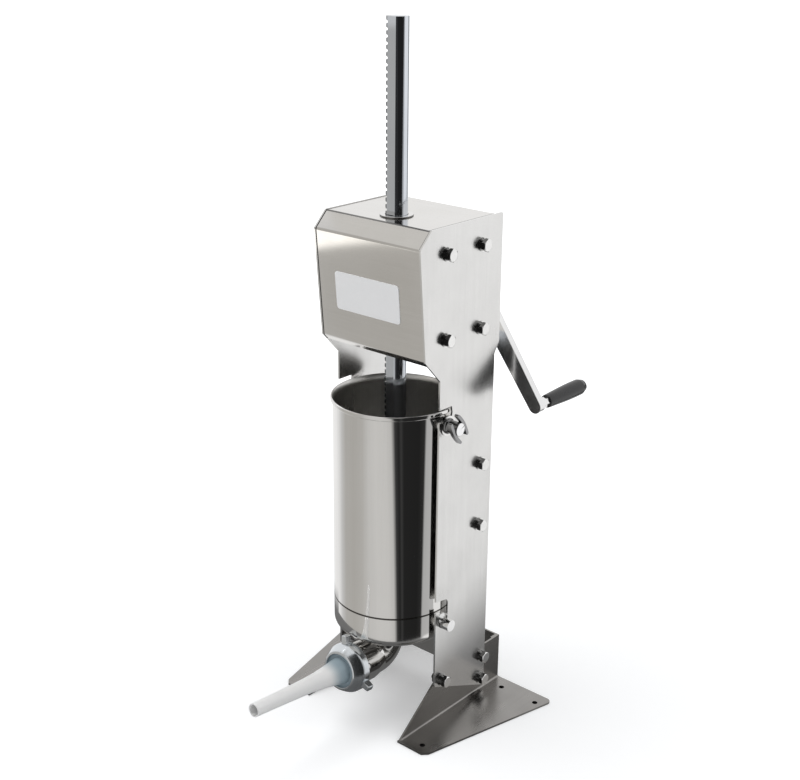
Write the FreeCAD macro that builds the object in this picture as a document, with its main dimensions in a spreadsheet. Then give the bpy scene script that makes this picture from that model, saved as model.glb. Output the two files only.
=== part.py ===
import FreeCAD, Part
import math
import os
import re
import Sketcher
from FreeCAD import Placement, Rotation, Vector

# A hand-cranked vertical sausage stuffer. Two bent-plate columns carry a gear head, a toothed bar
# drives the piston down a removable cylinder, and the meat leaves by an elbow and a funnel.
# Millimetres, +Z up, floor at Z 0, +X to the operator's right, -Y towards the funnel's tip.

doc = FreeCAD.newDocument("VerticalStuffer")

# Driving sizes
SIZES = {
    # side plates, measured back from the column's front edge and up from the floor
    "plate_thick": 3,
    "tube_clear": 4,
    "column_tail": 13,
    "axis_y": 22.07,
    "axis_setback": 18,
    "head_top": 782,
    "head_top_lead": 23.5,
    "nose_z": 758,
    "nose_lead": 47,
    "chin_z": 596,
    "chin_lead": 33,
    "throat_z": 561,
    "head_tail": 10,
    "tail_high": 589,
    "tail_low": 572,
    "plate_foot_front": 62,
    "plate_foot_rear": 8,
    "plate_corner": 3,
    # notches that hold the cylinder
    "pin_z": 167.3,
    "pin_radius": 9,
    "pin_slack": 1,
    "pin_lift": 31.7,
    "pin_slope": 5,
    "pin_reach": 15.5,
    "slot_corner": 8,
    "stud_z": 489.5,
    "stud_radius": 6,
    "stud_slack": 0.5,
    "stud_lift": 17.5,
    "stud_mouth": 20,
    "stud_pocket": 11,
    "stud_pocket_slope": 2,
    "stud_reach": 22,
    "stud_short_reach": 9,
    "seat_gap": 0.3,
    "boss_radius": 14,
    "weld_gap": 0.1,
    # base
    "foot_thick": 3,
    "foot_front": 97,
    "foot_rear": 148.4,
    "foot_flare_front": 49.4,
    "foot_flare_rear": 106.9,
    "foot_corner": 8,
    "foot_bend": 3,
    "web_height": 80,
    "web_shoulder": 16,
    "web_shoulder_back": 2,
    "floor_hole_radius": 4.25,
    "front_hole_side": 19.9,
    "inner_hole_side": 22.4,
    "outer_hole_side": 18.3,
    "front_hole_edge": 17,
    "rear_hole_edge": 23,
    "rear_wall_lap": 16,
    "tie_thick": 2.5,
    "tie_cover": 22,
    "tie_depth": 30,
    "tie_low": 12,
    "tie_high": 90,
    "tie_arch_side": 44,
    "tie_arch_rise": 25,
    "brace_gap": 2,
    "brace_depth": 30,
    "brace_low": 285,
    "brace_high": 425,
    # frame bolts
    "bolt_radius": 5,
    "bolt_slack": 0.3,
    "bolt_flats": 17,
    "bolt_head": 6.4,
    "block_grip": 20,
    "bolt_stub": 2,
    "washer_radius": 10,
    "washer_thick": 2,
    "spring_radius": 8.6,
    "spring_thick": 2.4,
    "spring_split": 2,
    "nut_height": 8,
    "head_bolt_front": 11,
    "head_bolt_edge": 35.5,
    "head_bolt_high": 743,
    "head_bolt_low": 620,
    "brace_bolt_edge": 26,
    "brace_bolt_high": 405,
    "brace_bolt_low": 304,
    "foot_bolt_front": 19,
    "foot_bolt_edge": 9,
    "foot_bolt_high": 66,
    "foot_bolt_low": 25.5,
    # head casing
    "cover_thick": 1.5,
    "cover_inset": 1,
    "cover_lip": 8.5,
    "cover_lip_drop": 8,
    "cover_edge": 2.7,
    "cover_hole_slack": 1.5,
    "label_width": 121,
    "label_height": 57,
    "label_thick": 0.8,
    "label_corner": 5,
    "label_x": -4,
    "label_z": 672,
    "guide_ring_radius": 24,
    "guide_ring_thick": 2,
    "guide_ring_slack": 0.5,
    "panel_screw_side": 42,
    "panel_screw_high": 715,
    "panel_screw_low": 652,
    "panel_screw_radius": 2.5,
    "panel_screw_cap": 5,
    "panel_screw_cap_thick": 3,
    "panel_screw_depth": 9,
    # gearbox
    "block_thick": 24,
    "block_front": 26,
    "bearing_plate_thick": 12,
    "bearing_plate_side": 22,
    "bearing_plate_lap": 8,
    "bush_wall": 3,
    "bush_flange": 2,
    "bush_rim": 3,
    "running_gap": 0.05,
    "shoulder_gap": 0.3,
    "plate_screw_side": 35,
    "plate_screw_radius": 3,
    "plate_screw_cap": 5,
    "plate_screw_cap_thick": 6,
    "plate_screw_depth": 16,
    # rack
    "rack_radius": 16,
    "rack_flat": 13.7,
    "rack_module": 3,
    "rack_tip_x": 13,
    "rack_length": 640,
    "rack_bottom": 412,
    "rack_plain_end": 60,
    "rack_backlash": 0.3,
    "rack_stud_radius": 9,
    # gears
    "pinion_teeth": 12,
    "pinion_shift": 0.3,
    "pinion_width": 28,
    "pinion_z": 681.5,
    "pinion_journal": 10,
    "pinion_core": 12,
    "wheel_module": 2,
    "wheel_teeth": 45,
    "crank_gear_teeth": 15,
    "crank_gear_overlap": 2,
    "gear_backlash": 0.24,
    "wheel_width": 16,
    "wheel_hub_radius": 20,
    "wheel_hub_length": 8,
    "crank_drop": 13.2,
    "crank_journal": 9,
    "crank_core": 11,
    "key_width": 6,
    "clip_thick": 1.2,
    "clip_rim": 3,
    # crank
    "crank_angle": 53.5,
    "crank_radius": 214.5,
    "arm_clear": 26,
    "arm_thick": 12,
    "arm_hub_radius": 16,
    "arm_neck_radius": 14,
    "arm_end_radius": 11,
    "square_end": 12.5,
    "arm_screw_radius": 4,
    "arm_screw_depth": 20,
    "arm_screw_flats": 13,
    "arm_screw_head": 5.5,
    "arm_washer_radius": 12,
    "arm_washer_thick": 2,
    "spindle_radius": 4,
    "spindle_collar_flats": 14,
    "spindle_collar_length": 17,
    "grip_length": 95.3,
    "grip_neck_radius": 10,
    "grip_neck_length": 12,
    "grip_swell": 1,
    "grip_taper_end": 57.2,
    "grip_radius": 13,
    "grip_slack": 0.3,
    "grip_end_round": 9,
    # cylinder
    "tube_radius": 93,
    "tube_wall": 1.5,
    "rim_width": 4.8,
    "rim_height": 6.6,
    "rim_round": 1.6,
    "rim_flare": 2.8,
    "rim_flare_depth": 6,
    "seam_round": 0.8,
    "rim_z": 512.3,
    "seam_z": 187,
    "cup_bottom": 136,
    "cup_corner": 13,
    # piston
    "piston_gap": 2,
    "piston_thick": 22,
    "piston_hub_radius": 26,
    "piston_hub_height": 16,
    "piston_edge": 5,
    "seal_gap": 0.35,
    "seal_depth": 7,
    "piston_nut_flats": 27,
    "piston_nut_height": 10,
    "piston_washer_radius": 18,
    "piston_washer_thick": 2,
    "piston_recess_slack": 2,
    "valve_side": 34.5,
    "valve_radius": 6,
    "valve_cap_radius": 10,
    "valve_cap_thick": 3,
    "valve_foot_thick": 2,
    "valve_slack": 0.1,
    "valve_travel": 3,
    # outlet
    "outlet_lead": 18,
    "outlet_rise": 5.5,
    "bend_radius": 30,
    "bend_drop": 15,
    "pipe_radius": 28,
    "pipe_bore": 26,
    "ferrule_radius": 32,
    "ferrule_start": 18,
    "ferrule_end": 65,
    "thread_pitch": 4,
    "thread_depth": 1.4,
    "thread_turns": 4,
    "gasket_thick": 3,
    "gasket_inset": 1,
    "nut_band_radius": 38.5,
    "nut_band": 14,
    "nut_dome": 15,
    "nut_rim_radius": 30,
    "nut_mouth_radius": 26.5,
    "nut_face": 4,
    "nut_round": 2.5,
    "nut_face_gap": 0.1,
    "lug_reach": 51,
    "lug_width": 10,
    "lug_length": 11,
    "lug_angle": 100,
    "funnel_length": 182,
    "funnel_flange": 3,
    "funnel_mouth_radius": 20.5,
    "funnel_neck_radius": 12.6,
    "funnel_neck": 56,
    "funnel_tip_radius": 10,
    "funnel_tip_length": 20,
    "funnel_wall": 1.6,
    # clamp knobs
    "knob_radius": 10,
    "knob_length": 22.2,
    "knob_round": 2,
    "knob_collar": 2,
    "knob_collar_height": 4,
    "knob_wing_reach": 21,
    "knob_wing_flat": 8,
    "knob_wing_thick": 5,
    "knob_wing_bow": 3,
    "knob_wing_width": 6.5,
    "knob_wing_gap": 1.5,
    "knob_wing_round": 1.8,
    "knob_angle": 33,
    "knob_end_wall": 2,
    "clamp_washer_radius": 15,
    "clamp_washer_thick": 2,
}

# Places and sizes that several pieces share, worked out from the driving sizes
PLACES = {
    "front_y": "axis_y - axis_setback",
    "plate_in": "tube_radius + tube_clear",
    "plate_out": "plate_in + plate_thick",
    "web_in": "plate_in - foot_thick",
    "bolt_seat": "plate_out + washer_thick + spring_thick",
    "column_depth": "axis_setback + tube_radius + column_tail",
    "head_bolt_rear": "column_depth - head_bolt_edge",
    "brace_bolt_back": "column_depth - brace_bolt_edge",
    "foot_bolt_rear": "column_depth - foot_bolt_edge",
    "foot_reach_front": "plate_out + foot_flare_front",
    "foot_reach_rear": "plate_out + foot_flare_rear",
    "front_hole_x": "foot_reach_front - front_hole_side",
    "inner_hole_x": "plate_out + inner_hole_side",
    "outer_hole_x": "foot_reach_rear - outer_hole_side",
    "tie_front": "column_depth - axis_setback - tie_cover",
    "tie_arch_x": "web_in - tie_arch_side",
    "cover_top": "head_top - cover_inset",
    "cover_under": "head_top - cover_inset - cover_thick",
    "cover_rear": "column_depth - cover_edge",
    "panel_front": "cover_rear - cover_thick",
    "bearing_rear": "cover_rear - cover_thick - bearing_plate_thick",
    "bearing_front": "axis_setback - block_front",
    "bearing_half": "plate_in - bearing_plate_side",
    "plate_screw_x": "plate_in - plate_screw_side",
    "panel_screw_x": "plate_in - panel_screw_side",
    "bearing_low": "head_bolt_low - bearing_plate_lap",
    "bearing_high": "head_bolt_high + bearing_plate_lap",
    "pinion_x": "0 - rack_tip_x + rack_module - rack_module * (pinion_teeth / 2 + pinion_shift)",
    "gear_centres": "wheel_module * (wheel_teeth + crank_gear_teeth) / 2",
    "crank_x": "pinion_x + sqrt(gear_centres ^ 2 - crank_drop ^ 2)",
    "crank_z": "pinion_z - crank_drop",
    "wheel_start": "axis_setback + pinion_width / 2 + wheel_hub_length",
    "tube_bore": "tube_radius - tube_wall",
    "rack_bush_radius": "rack_radius + running_gap + bush_wall",
    "piston_radius": "tube_radius - tube_wall - piston_gap",
    "valve_offset": "piston_radius - valve_side",
    "piston_bottom": "rack_bottom - piston_hub_height - piston_thick",
    "nut_front": "ferrule_end + gasket_thick + funnel_flange + nut_face + nut_face_gap",
    "nut_rear": "nut_front - nut_band - nut_dome",
    "gasket_radius": "ferrule_radius - gasket_inset",
    "knob_start": "plate_out + clamp_washer_thick + seat_gap",
    "wing_mid": "knob_radius - knob_wing_round / 2",
    "wing_tip": "wing_mid - knob_wing_bow",
    "spindle_x": "crank_x + crank_radius * cos(crank_angle)",
    "spindle_z": "crank_z - crank_radius * sin(crank_angle)",
    "arm_back": "column_depth + arm_clear",
    "grip_start": "arm_back + arm_thick + spindle_collar_length + seat_gap",
}


def bound(text):
    """Write a size expression with its cells named in full."""
    def full(found):
        name = found.group(0)
        if name in SIZES:
            return "Sizes." + name
        if name in PLACES:
            return "Places." + name
        return name
    return re.sub(r"[a-z][a-z_]+", full, str(text))


def fill_sheet(label, rows, formula):
    """Write named rows into a sheet of their own."""
    holder = doc.addObject("Spreadsheet::Sheet", label)
    for row, (name, value) in enumerate(rows.items(), start=1):
        holder.set("A%d" % row, name)
        holder.set("B%d" % row, formula(value))
        holder.setAlias("B%d" % row, name)
    return holder


def places_formula(text):
    """A shared place as a formula, its angles turned from degrees."""
    text = re.sub(r"(cos|sin)\((\w+)\)", r"\1(\2 * 1 deg)", text)
    own = re.sub(r"Places\.", "", bound(text))
    return "=" + own


sheet = fill_sheet("Sizes", SIZES, str)
places = fill_sheet("Places", PLACES, places_formula)
doc.recompute()


def size(text):
    """The number that a cell, or an expression of cells, comes to."""
    if text in SIZES:
        return float(getattr(sheet, text))
    if text in PLACES:
        return float(getattr(places, text))
    return float(sheet.evalExpression(bound(text)))


X_WAY = Vector(1, 0, 0)
Y_WAY = Vector(0, 1, 0)
Z_WAY = Vector(0, 0, 1)
SIDES = {"left": -1, "right": 1}
ALONG_Y = Rotation(X_WAY, -90)
FACING_FRONT = Rotation(X_WAY, 90)
OUTLET_WAY = Rotation(X_WAY, 90 - size("outlet_rise"))

# Edges and faces nearer than this to a wanted spot are taken to be there
NEAR = 0.01

nodes = []


# Sketches and features

def place(thing, where, turn=None):
    """Turn a thing and bind its position to the cells."""
    if turn is not None:
        thing.Placement = Placement(Vector(), turn)
    for axis, text in zip("xyz", where):
        thing.setExpression("Placement.Base." + axis, bound(text))


def open_body(label, where=("0", "0", "0"), turn=None):
    """Start a body that is one piece of the machine."""
    body = doc.addObject("PartDesign::Body", label)
    body.Label = label
    place(body, where, turn)
    nodes.append(body)
    return body


def open_sketch(body, plane, lift="0"):
    """Attach a sketch to one of the body's own planes, lifted along its normal."""
    sketch = body.newObject("Sketcher::SketchObject", body.Name + "_sketch")
    origin = [item for item in body.Origin.OriginFeatures if item.Role == plane + "_Plane"][0]
    sketch.AttachmentSupport = [(origin, "")]
    sketch.MapMode = "FlatFace"
    sketch.setExpression("AttachmentOffset.Base.z", bound(lift))
    return sketch


def dimension(sketch, text, *words):
    """Add one dimension and bind it."""
    index = sketch.addConstraint(Sketcher.Constraint(*words, 1.0))
    sketch.setExpression("Constraints[%d]" % index, bound(text))


def draw_outline(sketch, corners):
    """A closed outline of straight edges through bound corners."""
    count = len(corners)
    spots = [Vector(*[size(text) for text in corner], 0) for corner in corners]
    first = sketch.GeometryCount
    for k in range(count):
        sketch.addGeometry(Part.LineSegment(spots[k], spots[(k + 1) % count]), False)
    for k in range(count):
        sketch.addConstraint(Sketcher.Constraint("Coincident", first + k, 2, first + (k + 1) % count, 1))
    for k, (across, up) in enumerate(corners):
        dimension(sketch, across, "DistanceX", -1, 1, first + k, 1)
        dimension(sketch, up, "DistanceY", -1, 1, first + k, 1)


def draw_circle(sketch, across, up, radius):
    """A bound circle."""
    middle = Vector(size(across), size(up), 0)
    item = sketch.addGeometry(Part.Circle(middle, Z_WAY, size(radius)), False)
    dimension(sketch, radius, "Radius", item)
    dimension(sketch, across, "DistanceX", -1, 1, item, 3)
    dimension(sketch, up, "DistanceY", -1, 1, item, 3)


def pad(body, sketch, length, flipped=False):
    """Thicken a sketch into the body."""
    feature = body.newObject("PartDesign::Pad", body.Name + "_pad")
    feature.Profile = sketch
    feature.setExpression("Length", bound(length))
    feature.Reversed = flipped
    body.Tip = feature
    return feature


def pocket(body, sketch, depth=None):
    """Cut a sketch through the body, or the given depth to each side of its plane."""
    feature = body.newObject("PartDesign::Pocket", body.Name + "_cut")
    feature.Profile = sketch
    feature.Midplane = True
    if depth is None:
        feature.Type = "ThroughAll"
    else:
        feature.setExpression("Length", bound("2 * (%s)" % depth))
    body.Tip = feature
    return feature


def drill(body, plane, circles, lift="0", depth=None):
    """Cut round holes square to one of the body's planes."""
    sketch = open_sketch(body, plane, lift)
    for across, up, radius in circles:
        draw_circle(sketch, across, up, radius)
    return pocket(body, sketch, depth)


def plate(label, plane, outline, thick, where=("0", "0", "0"), turn=None, holes=()):
    """A piece cut from sheet or bar, with round holes through it."""
    body = open_body(label, where, turn)
    sketch = open_sketch(body, plane)
    draw_outline(sketch, outline)
    pad(body, sketch, thick)
    if holes:
        drill(body, plane, holes)
    return body


def spin(body, profile, kind="PartDesign::Revolution"):
    """Turn (radius, height) corners about the body's own Z axis."""
    sketch = open_sketch(body, "XZ")
    draw_outline(sketch, profile)
    feature = body.newObject(kind, body.Name + "_turn")
    feature.Profile = sketch
    feature.ReferenceAxis = (sketch, ["V_Axis"])
    feature.Angle = 360
    body.Tip = feature
    return feature


def turned(label, profile, where=("0", "0", "0"), turn=None):
    """A piece turned on a lathe from its (radius, height) corners."""
    body = open_body(label, where, turn)
    spin(body, profile)
    return body


def sleeve(label, inner, outer, length, where, turn=None):
    """A plain tube or washer."""
    profile = [(inner, "0"), (outer, "0"), (outer, length), (inner, length)]
    return turned(label, profile, where, turn)


def soften(body, radius, wanted):
    """Round the edges of a body's last feature that pass a test."""
    doc.recompute()
    base = body.Tip
    names = ["Edge%d" % k for k, edge in enumerate(base.Shape.Edges, start=1) if wanted(edge)]
    if not names:
        raise RuntimeError("no edge to round on " + body.Label)
    feature = body.newObject("PartDesign::Fillet", body.Name + "_round")
    feature.Base = (base, names)
    feature.setExpression("Radius", bound(radius))
    body.Tip = feature
    return feature


def corner_edges(spots, way=X_WAY):
    """A test for straight edges along a way that pass through one of the spots."""
    def wanted(edge):
        if len(edge.Vertexes) != 2:
            return False
        span = edge.Vertexes[1].Point - edge.Vertexes[0].Point
        if span.Length < NEAR or span.cross(way).Length > NEAR:
            return False
        near = [(edge.Vertexes[0].Point - spot).cross(way).Length for spot in spots]
        return min(near) < NEAR
    return wanted


def circle_edges(radius, height):
    """A test for full circles about the body's axis at one height."""
    def wanted(edge):
        if not isinstance(edge.Curve, Part.Circle):
            return False
        return abs(edge.Curve.Radius - radius) < NEAR and abs(edge.Curve.Center.z - height) < NEAR
    return wanted


def check_cut(body, feature):
    """Stop if a cut took nothing away."""
    doc.recompute()
    if feature.Shape.Volume >= feature.BaseFeature.Shape.Volume:
        raise RuntimeError("cut took nothing from " + body.Label)


# Shapes worked out directly

def piece(label, shape, where=Vector(), turn=Rotation()):
    """A piece whose shape is worked out directly, then put in its place."""
    item = doc.addObject("Part::Feature", label)
    item.Label = label
    item.Shape = shape
    item.Placement = Placement(where, turn).multiply(shape.Placement)
    nodes.append(item)
    return item


def rod(radius, length, start, way):
    """A round bar."""
    return Part.makeCylinder(radius, length, start, way)


def flat_ring(outer, inner, length, start, way):
    """A washer or short tube."""
    return rod(outer, length, start, way).cut(rod(inner, length, start, way))


def face_through(points):
    """A flat face with straight edges."""
    return Part.Face(Part.makePolygon(points + points[:1]))


def hexagon_bar(flats, length, start, way):
    """A hexagonal bar."""
    corner = flats / math.sqrt(3)
    angles = [math.radians(60 * k) for k in range(6)]
    face = face_through([Vector(corner * math.cos(a), corner * math.sin(a), 0) for a in angles])
    bar = face.extrude(Vector(0, 0, length))
    bar.Placement = Placement(start, Rotation(Z_WAY, way))
    return bar


def stepped_rod(steps, start, way):
    """A round bar of several radii, from (radius, length) steps."""
    solid = None
    for radius, length in steps:
        part = rod(radius, length, start, way)
        solid = part if solid is None else solid.fuse(part)
        start = start + way * length
    return solid.removeSplitter()


# Side plates

HEAD_BOLTS = [(back, up) for back in ("head_bolt_front", "head_bolt_rear")
              for up in ("head_bolt_high", "head_bolt_low")]
BRACE_BOLTS = [("brace_bolt_back", up) for up in ("brace_bolt_high", "brace_bolt_low")]
FRONT_FOOT_BOLTS = [("foot_bolt_front", "foot_bolt_high")]
REAR_FOOT_BOLTS = [("foot_bolt_rear", up) for up in ("foot_bolt_high", "foot_bolt_low")]
FRAME_BOLTS = HEAD_BOLTS + BRACE_BOLTS + FRONT_FOOT_BOLTS + REAR_FOOT_BOLTS

COLUMN_OUTLINE = [
    ("0", "plate_foot_front"),
    ("column_depth", "plate_foot_rear"),
    ("column_depth", "tail_low"),
    ("column_depth + head_tail", "tail_high"),
    ("column_depth + head_tail", "head_top"),
    ("0 - head_top_lead", "head_top"),
    ("0 - nose_lead", "nose_z"),
    ("0 - chin_lead", "chin_z"),
    ("0", "throat_z"),
]

PIN_HALF = "(pin_radius + pin_slack)"
PIN_SEAT = "(pin_z + pin_slack - seat_gap)"
STUD_HALF = "(stud_radius + stud_slack)"

PIN_SLOT = [
    ("0 - slot_corner", PIN_SEAT + " + pin_lift - " + PIN_HALF),
    ("0 - slot_corner", PIN_SEAT + " + pin_lift + " + PIN_HALF),
    ("axis_setback + " + PIN_HALF, PIN_SEAT + " + pin_lift - pin_slope + " + PIN_HALF),
    ("axis_setback + " + PIN_HALF, PIN_SEAT),
    ("axis_setback - " + PIN_HALF, PIN_SEAT),
    ("axis_setback - " + PIN_HALF, PIN_SEAT + " + pin_lift - " + PIN_HALF),
]

STUD_SLOT = [
    ("0 - slot_corner", "stud_z + stud_lift - stud_mouth / 2"),
    ("0 - slot_corner", "stud_z + stud_lift + stud_mouth / 2"),
    ("axis_setback + stud_pocket - stud_pocket_slope", "stud_z + stud_lift + stud_mouth / 2"),
    ("axis_setback + stud_pocket", "stud_z + stud_lift"),
    ("axis_setback + " + STUD_HALF, "stud_z"),
    ("axis_setback - " + STUD_HALF, "stud_z"),
    ("axis_setback - " + STUD_HALF, "stud_z + stud_lift - stud_mouth / 2"),
]


def side_plate(label, across):
    """One column plate, with its bolt holes and the two slots that the cylinder hangs in."""
    holes = [(back, up, "bolt_radius + bolt_slack") for back, up in FRAME_BOLTS]
    body = plate(label, "YZ", COLUMN_OUTLINE, "plate_thick", (across, "front_y", "0"), holes=holes)
    for outline in (PIN_SLOT, STUD_SLOT):
        cut = open_sketch(body, "YZ")
        draw_outline(cut, outline)
        pocket(body, cut)
    drill(body, "YZ", [("axis_setback", PIN_SEAT, PIN_HALF), ("axis_setback", "stud_z", STUD_HALF)])
    outer = [Vector(0, size(back), size(up)) for back, up in COLUMN_OUTLINE]
    soften(body, "plate_corner", corner_edges(outer))
    inner = Vector(0, size(PIN_SLOT[2][0]), size(PIN_SLOT[2][1]))
    soften(body, "slot_corner", corner_edges([inner]))


side_plate("side_plate_left", "0 - plate_out")
side_plate("side_plate_right", "plate_in")


# Base

WEB_OUTLINE = [
    ("0 - foot_front", "0"),
    ("foot_rear", "0"),
    ("foot_rear", "web_height"),
    ("web_shoulder_back", "web_height"),
    ("0 - axis_setback", "web_height - web_shoulder"),
]


def foot(label, side):
    """An angled foot: an upright web inside the column plate and a flange that flares outwards."""
    body = open_body(label, ("0", "axis_y", "0"))
    web = open_sketch(body, "YZ", "web_in" if side > 0 else "0 - plate_in")
    draw_outline(web, WEB_OUTLINE)
    pad(body, web, "foot_thick")
    flange = open_sketch(body, "XY")
    draw_outline(flange, [
        ("%d * web_in" % side, "0 - foot_front"),
        ("%d * (foot_reach_front - foot_corner)" % side, "0 - foot_front"),
        ("%d * foot_reach_front" % side, "foot_corner - foot_front"),
        ("%d * foot_reach_rear" % side, "foot_rear"),
        ("%d * web_in" % side, "foot_rear"),
    ])
    pad(body, flange, "foot_thick")
    drill(body, "XY", [
        ("%d * front_hole_x" % side, "front_hole_edge - foot_front", "floor_hole_radius"),
        ("%d * inner_hole_x" % side, "foot_rear - rear_hole_edge", "floor_hole_radius"),
        ("%d * outer_hole_x" % side, "foot_rear - rear_hole_edge", "floor_hole_radius"),
    ])
    drill(body, "YZ", [(back + " - axis_setback", up, "bolt_radius + bolt_slack")
                       for back, up in FRONT_FOOT_BOLTS + REAR_FOOT_BOLTS])
    tip = Vector(side * size("foot_reach_rear"), size("foot_rear"), 0)
    soften(body, "foot_corner", corner_edges([tip], Z_WAY))
    soften(body, "foot_bend", corner_edges([Vector(side * size("plate_in"), 0, size("foot_thick"))], Y_WAY))


for name, side in SIDES.items():
    foot("foot_" + name, side)


def channel_outline(half, near, far, thick, wall_at_far=True):
    """A U-shaped section seen from above: a wall with a flange at each end."""
    wall, lap = (far, near) if wall_at_far else (near, far)
    inside = "%s %s %s" % (wall, "-" if wall_at_far else "+", thick)
    return [
        ("0 - (%s)" % half, wall),
        (half, wall),
        (half, lap),
        ("%s - %s" % (half, thick), lap),
        ("%s - %s" % (half, thick), inside),
        ("0 - (%s) + %s" % (half, thick), inside),
        ("0 - (%s) + %s" % (half, thick), lap),
        ("0 - (%s)" % half, lap),
    ]


def base_pieces():
    """The rear wall and the arched tie that join the feet."""
    wall = channel_outline("web_in", "foot_rear - rear_wall_lap", "foot_rear", "foot_thick")
    plate("base_rear_wall", "XY", wall, "web_height", ("0", "axis_y", "0"))
    section = channel_outline("web_in", "tie_front", "tie_front + tie_depth", "tie_thick", False)
    tie = plate("base_tie", "XY", section, "tie_high - tie_low", ("0", "axis_y", "tie_low"))
    arch = open_sketch(tie, "XZ")
    draw_outline(arch, [
        ("0 - web_in + tie_thick", "0 - tie_thick"),
        ("0 - tie_arch_x", "tie_arch_rise"),
        ("tie_arch_x", "tie_arch_rise"),
        ("web_in - tie_thick", "0 - tie_thick"),
    ])
    check_cut(tie, pocket(tie, arch))
    drill(tie, "YZ", [(back + " - axis_setback", up + " - tie_low", "bolt_radius + bolt_slack")
                      for back, up in REAR_FOOT_BOLTS])


def column_brace():
    """The channel that joins the columns behind the cylinder."""
    near = "tube_radius + brace_gap - brace_depth"
    far = "tube_radius + brace_gap + tie_thick"
    section = channel_outline("plate_in", near, far, "tie_thick")
    brace = plate("column_brace", "XY", section, "brace_high - brace_low", ("0", "axis_y", "brace_low"))
    drill(brace, "YZ", [(back + " - axis_setback", up + " - brace_low", "bolt_radius + bolt_slack")
                        for back, up in BRACE_BOLTS])


base_pieces()
column_brace()


# Frame fasteners

def bolt_places(spots):
    """Each bolt's place on the side plates, with the way that its head faces."""
    for side in SIDES.values():
        for back, up in spots:
            yield Vector(0, size("front_y + " + back), size(up)), X_WAY * side


def bolt_set(label, spots, grip):
    """Hexagon bolts with their shanks, as one set of separate bolts."""
    solids = []
    for spot, way in bolt_places(spots):
        seat = spot + way * size("bolt_seat")
        head = hexagon_bar(size("bolt_flats"), size("bolt_head"), seat, way)
        shank = rod(size("bolt_radius"), size("bolt_seat") - size(grip), seat, way * -1)
        solids.append(head.fuse(shank))
    piece(label, Part.makeCompound(solids))


NUT_STACKS = [
    (BRACE_BOLTS, "plate_in - tie_thick"),
    (FRONT_FOOT_BOLTS, "web_in"),
    (REAR_FOOT_BOLTS, "web_in - tie_thick"),
]


def frame_fasteners():
    """The bolts, their washers and the nuts inside the base and the brace."""
    bolt_set("head_bolts", HEAD_BOLTS, "plate_in - block_grip")
    bolt_set("brace_bolts", BRACE_BOLTS, "plate_in - tie_thick - nut_height - bolt_stub")
    bolt_set("foot_bolts", FRONT_FOOT_BOLTS + REAR_FOOT_BOLTS, "web_in - tie_thick - nut_height - bolt_stub")
    washers = []
    springs = []
    nuts = []
    for spot, way in bolt_places(FRAME_BOLTS):
        face = spot + way * size("plate_out")
        hole = size("bolt_radius + bolt_slack")
        washers.append(flat_ring(size("washer_radius"), hole, size("washer_thick"), face, way))
        face = face + way * size("washer_thick")
        spring = flat_ring(size("spring_radius"), hole, size("spring_thick"), face, way)
        split = size("spring_split")
        corner = face + Vector(-size("spring_thick"), -split / 2, 0)
        slot = Part.makeBox(2 * size("spring_thick"), split, size("spring_radius"), corner)
        springs.append(spring.cut(slot))
    for spots, inside in NUT_STACKS:
        for spot, way in bolt_places(spots):
            face = spot + way * size(inside)
            nut = hexagon_bar(size("bolt_flats"), size("nut_height"), face, way * -1)
            nuts.append(nut.cut(rod(size("bolt_radius"), size("nut_height"), face, way * -1)))
    piece("flat_washers", Part.makeCompound(washers))
    piece("spring_washers", Part.makeCompound(springs))
    piece("frame_nuts", Part.makeCompound(nuts))


frame_fasteners()


# Head casing

COVER_SLOPE = "(nose_lead - chin_lead) / (nose_z - chin_z)"


def head_cover():
    """The folded sheet between the plates: top, chamfer, sloping front and lower lip."""
    body = open_body("head_cover", ("0 - plate_in", "front_y", "0"))
    sketch = open_sketch(body, "YZ")
    lip_z = "chin_z - cover_lip_drop"
    draw_outline(sketch, [
        ("cover_rear", "cover_top"),
        ("cover_inset / 2 - head_top_lead", "cover_top"),
        ("cover_inset - nose_lead", "nose_z"),
        ("cover_inset - chin_lead", "chin_z"),
        ("cover_lip - chin_lead", lip_z),
        ("cover_rear", lip_z),
    ])
    whole = pad(body, sketch, "2 * plate_in")
    doc.recompute()
    low = size(lip_z)
    rear = size("cover_rear")
    width = size("2 * plate_in")
    open_faces = []
    for k, face in enumerate(whole.Shape.Faces, start=1):
        middle = face.CenterOfMass
        at_end = min(abs(middle.x), abs(middle.x - width)) < NEAR
        if at_end or abs(middle.y - rear) < NEAR or abs(middle.z - low) < NEAR:
            open_faces.append("Face%d" % k)
    skin = body.newObject("PartDesign::Thickness", "head_cover_skin")
    skin.Base = (whole, open_faces)
    skin.setExpression("Value", bound("cover_thick"))
    skin.Reversed = True
    skin.Join = "Intersection"
    body.Tip = skin
    drill(body, "XY", [("plate_in", "axis_setback", "rack_radius + cover_hole_slack")])


head_cover()


def panel_screws():
    """Where the rear panel's screws go."""
    return [("%d * panel_screw_x" % side, up) for side in SIDES.values()
            for up in ("panel_screw_high", "panel_screw_low")]


def plate_screws():
    """Where the bearing plates' screws go."""
    return [("%d * plate_screw_x" % side, up) for side in SIDES.values()
            for up in ("head_bolt_high", "head_bolt_low")]


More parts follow.
